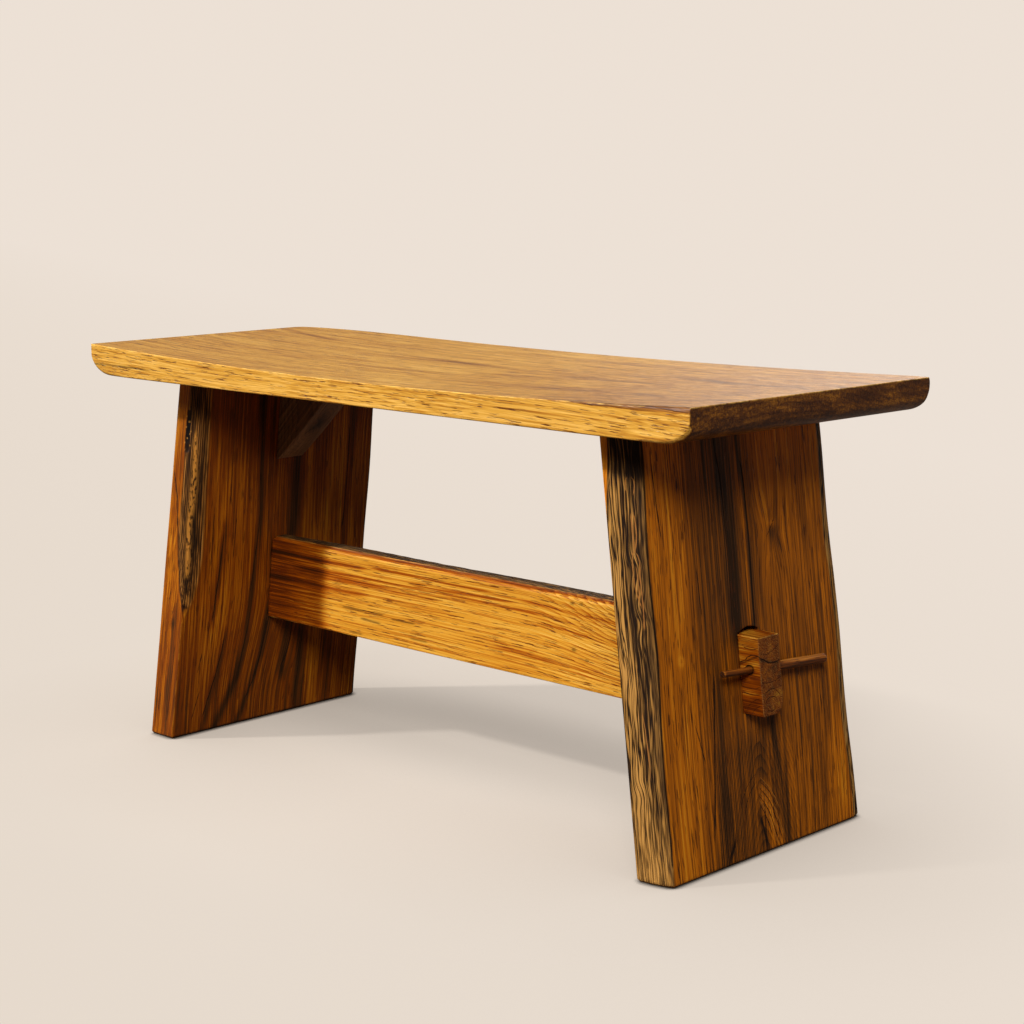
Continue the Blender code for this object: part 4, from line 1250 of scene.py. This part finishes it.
block_height = 0.101
block_reach = 0.097
block_blunt = 0.003
block_foot_run = 0.003
block_slope_run = 0.1063
block_half = 0.0185
block_knot = (0.255, 0.004)
block_top = seat_underside - fit_gap
block_foot = block_top - block_height
block_near = stretcher_centre - block_half
block_far = stretcher_centre + block_half
block_wood = timber("block_split_wood", (
    (0.0, (0.42, 0.22, 0.09)), (0.35, (0.26, 0.12, 0.045)), (0.65, (0.11, 0.046, 0.016)),
    (1.0, (0.025, 0.011, 0.005)),
), streak=0.4, fibre=0.6, pores=0.5, roughness=0.55)
for side_name, side in (("left", -1), ("right", 1)):
    tip = inner_face(block_top) - fit_gap - block_reach

    def block_place(across, deep, high):
        """From the leg's face at 0 to the tip at 1, and from the sloped face up to the seat."""
        level = block_foot_run / (block_foot_run + block_slope_run)
        slope = np.clip((across - level) / (1.0 - level), 0.0, 1.0)
        low = mix(block_foot, block_top - block_blunt, slope)
        hewn = 0.0005 * ripples(across * 9.0, deep * 5.0, 0.0, 91.0 + side)
        low = low + np.abs(hewn) * (1.0 - high) * np.minimum(1.0, 8.0 * across * (1.0 - across))
        z = mix(low, block_top, high)
        reach = mix(inner_face(z) - fit_gap, tip, across)
        return side * reach, mix(block_near, block_far, deep if side < 0 else 1.0 - deep), z

    block_across = grid_lines((0.0008, 1), (0.003, 2), (0.103, 90), (0.0008, 1))
    block_deep = grid_lines((0.0008, 1), (0.0354, 32), (0.0008, 1))
    block_high = grid_lines((0.0008, 1), (0.097, 60), (0.0008, 1))
    block = block_skin(f"corner_block_{side_name}", block_across, block_deep, block_high, block_place)
    x, y, z = points_of(block)
    run = (np.abs(x) + z) * math.sqrt(0.5)
    depth = (np.abs(x) - z) * math.sqrt(0.5)
    knot_x, knot_y = block_knot
    knot = spot(np.abs(x), y, block_knot, (0.012, 0.009))
    note(block, "grain_place", [depth, y + 0.01 * knot * np.sign(y - knot_y), run])
    phase = np.hypot(y - knot_y, (np.abs(x) - knot_x) * 0.7) / 0.0032
    phase = phase + ripples(x * 12.0, y * 30.0, z * 12.0, 93.0)
    note(block, "rings", [phase, 0.2, 0.0])
    tone = 0.42 + 0.14 * ripples(x * 12.0, y * 60.0, z * 12.0, 94.0 + side) + 0.45 * knot
    on_cheek = eased(np.abs(y - stretcher_centre), 0.017, 0.0183)
    knot_heart = spot(np.abs(x), y, block_knot, (0.004, 0.003))
    note(block, "figure", [tone + 0.18 * on_cheek, 0.25 * knot_heart, 0.0])
    block.data.materials.append(block_wood)
    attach(block, "bench")
    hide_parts(f"block_{side_name}")

# Dowels
# Three turned beech dowels stand in each leg's top end and go blind into the seat. They are glued
# in and can't be seen on the finished bench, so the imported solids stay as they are.

beech = bpy.data.materials.new("dowel_pale_beech")
beech.use_nodes = True
tree = beech.node_tree
shader = tree.nodes["Principled BSDF"]
place = add_node(tree, "TexCoord").outputs["Object"]
flecks = grain_noise(place, (900.0, 900.0, 60.0), 2.0)
fibres = grain_noise(place, (500.0, 500.0, 14.0), 3.0)
colour = colour_ramp(fibres, (
    (0.0, (0.72, 0.52, 0.32)), (0.5, (0.62, 0.42, 0.24)), (1.0, (0.5, 0.32, 0.17)),
))
fleck = spread(flecks, 0.62, 0.7)
colour = blend_colours(times(fleck, 0.5), colour, (0.3, 0.16, 0.08, 1.0))
bump = add_node(tree, "Bump", {"Height": fibres, "Strength": 0.3, "Distance": 0.0004})
tree.links.new(colour, shader.inputs["Base Color"])
tree.links.new(bump.outputs[0], shader.inputs["Normal"])
shader.inputs["Roughness"].default_value = 0.6
for side_name in ("left", "right"):
    for number in (1, 2, 3):
        dowel = bpy.data.objects[f"dowel_{side_name}_{number}"]
        dowel.data.materials.clear()
        dowel.data.materials.append(beech)

# Studio
# The bench stands on a seamless pale ground that runs up into the backdrop. A small lamp stands
# front left and a broad one front right, and the pale backdrop lights the bench's far side.

ground_reach = 60.0
ground_sides = ((-1, -1), (1, -1), (1, 1), (-1, 1))
ground_corners = [(ground_reach * across, ground_reach * deep, 0.0) for across, deep in ground_sides]
ground = new_piece("ground", ground_corners, [(0, 1, 2, 3)])
near_paper = (0.793, 0.7, 0.607, 1.0)
far_paper = (0.842, 0.75, 0.666, 1.0)
paper = bpy.data.materials.new("ground_paper")
paper.use_nodes = True
tree = paper.node_tree
tree.nodes.remove(tree.nodes["Principled BSDF"])
path = add_node(tree, "LightPath").outputs
spot_on_floor = add_node(tree, "NewGeometry").outputs["Position"]
floor_x, floor_y, _ = add_node(tree, "SeparateXYZ", {0: spot_on_floor}).outputs
away = reckon("MULTIPLY_ADD", floor_y, 0.8, times(floor_x, 0.35))
away = spread(away, -0.5, 1.6)
distance = add_node(tree, "VectorMath", {0: spot_on_floor}, operation="LENGTH").outputs["Value"]
away = reckon("MAXIMUM", away, spread(distance, 3.0, 25.0))
tint = blend_colours(away, near_paper, far_paper)


def floor_oval(centre, size):
    """How far a place on the floor lies from an oval's centre, 1 on its line."""
    squares = []
    for place, middle, half in zip((floor_x, floor_y), centre, size):
        share = reckon("MULTIPLY_ADD", place, 1.0 / half, -middle / half)
        squares.append(reckon("POWER", share, 2.0))
    return reckon("SQRT", reckon("ADD", *squares))


# A soft oval of painted shadow on the floor beneath the bench, which also deepens the contact shade there.
painted_floor_shadow = spread(floor_oval((-0.11, 0.1), (0.38, 0.13)), 0.3, 1.4, 0.76, 1.0, "SMOOTHSTEP")
near = spread(floor_oval((-0.09, 0.1), (0.58, 0.5)), 1.25, 0.65, kind="SMOOTHSTEP")
hidden = add_node(tree, "AmbientOcclusion", {"Distance": 0.38}, samples=8).outputs["AO"]
shade = spread(hidden, 0.0, 1.0, 0.52)
inputs = {0: 1.0, 6: tint, 7: (1.0, 0.95, 0.88, 1.0)}
shade_tint = add_node(tree, "Mix", inputs, data_type="RGBA", blend_type="MULTIPLY")
glow_tint = blend_colours(shade, shade_tint.outputs[2], tint)
touching = add_node(tree, "AmbientOcclusion", {"Distance": 0.01}, samples=8).outputs["AO"]
contact = times(spread(touching, 0.45, 0.85, 0.05), painted_floor_shadow)
strength = times(shade, contact)
glow = add_node(tree, "Emission", {"Color": glow_tint, "Strength": strength})
matt_tint = blend_colours(0.06, tint, (0.0, 0.0, 0.0, 1.0))
matt = add_node(tree, "BsdfDiffuse", {"Color": matt_tint})
dull = add_node(tree, "BsdfDiffuse", {"Color": (0.15, 0.12, 0.1, 1.0)})


def blend_shaders(share, first, second):
    inputs = {0: share, 1: first.outputs[0], 2: second.outputs[0]}
    return add_node(first.id_data, "MixShader", inputs)


seen = blend_shaders(times(near, 0.26), glow, matt)
whole = blend_shaders(path["Is Camera Ray"], dull, seen)
tree.links.new(whole.outputs[0], tree.nodes["Material Output"].inputs["Surface"])
ground.data.materials.append(paper)

room = bpy.data.worlds.new("room")
room.use_nodes = True
bpy.context.scene.world = room
tree = room.node_tree
path = add_node(tree, "LightPath").outputs
look = add_node(tree, "TexCoord").outputs["Generated"]


def facing(way):
    """How far the look leads a level way, from -1 to 1."""
    found = add_node(look.id_data, "VectorMath", {0: look, 1: way}, operation="DOT_PRODUCT")
    return found.outputs["Value"]


to_back = facing((-0.6, 0.8, 0.0))
to_right = facing((-0.342, 0.94, 0.0))
back_light = spread(to_back, 0.1, 0.95, 0.035, 0.5)
mirror_light = spread(to_right, 0.905, 0.975, 0.36, 3.5, "SMOOTHSTEP")
mirror_light = times(mirror_light, spread(to_back, -0.2, 0.6, 0.08))
ambient = tree.nodes["Background"]
ambient.inputs["Color"].default_value = (1.0, 0.95, 0.9, 1.0)
tree.links.new(back_light, ambient.inputs["Strength"])
mirrored = add_node(tree, "Background", {"Color": far_paper, "Strength": mirror_light})
shown = add_node(tree, "Background", {"Color": far_paper, "Strength": 1.0})
glossy = reckon("MAXIMUM", path["Is Glossy Ray"], path["Is Transmission Ray"])
room_light = blend_shaders(glossy, ambient, mirrored)
whole = blend_shaders(path["Is Camera Ray"], room_light, shown)
tree.links.new(whole.outputs[0], tree.nodes["World Output"].inputs["Surface"])

for name, travel, energy, angle in (
    ("front_left_lamp", (0.479, 0.611, -0.63), 3.2, 4.0),
    ("front_right_lamp", (-0.48, 0.64, -0.6), 2.36, 22.0),
):
    lamp_data = bpy.data.lights.new(name, "SUN")
    lamp_data.energy = energy
    lamp_data.angle = math.radians(angle)
    lamp_data.color = (1.0, 0.985, 0.96)
    lamp = bpy.data.objects.new(name, lamp_data)
    lamp.rotation_euler = Vector(travel).to_track_quat("-Z", "Y").to_euler()
    bpy.context.scene.collection.objects.link(lamp)

sensor_width = 36.0
photo_width = 1024
focal_length_in_pixels = 2113.2
camera_place = (1.5476, -1.5692, 0.6674)
camera_down = 0.1709
camera_turn = 0.7612
camera_data = bpy.data.cameras.new("camera")
camera_data.lens = focal_length_in_pixels / photo_width * sensor_width
camera_data.sensor_width = sensor_width
camera = bpy.data.objects.new("camera", camera_data)
camera.location = camera_place
camera.rotation_euler = (math.pi / 2 - camera_down, 0.0, camera_turn)
bpy.context.scene.collection.objects.link(camera)
bpy.context.scene.camera = camera
bpy.context.scene.view_settings.view_transform = "Standard"
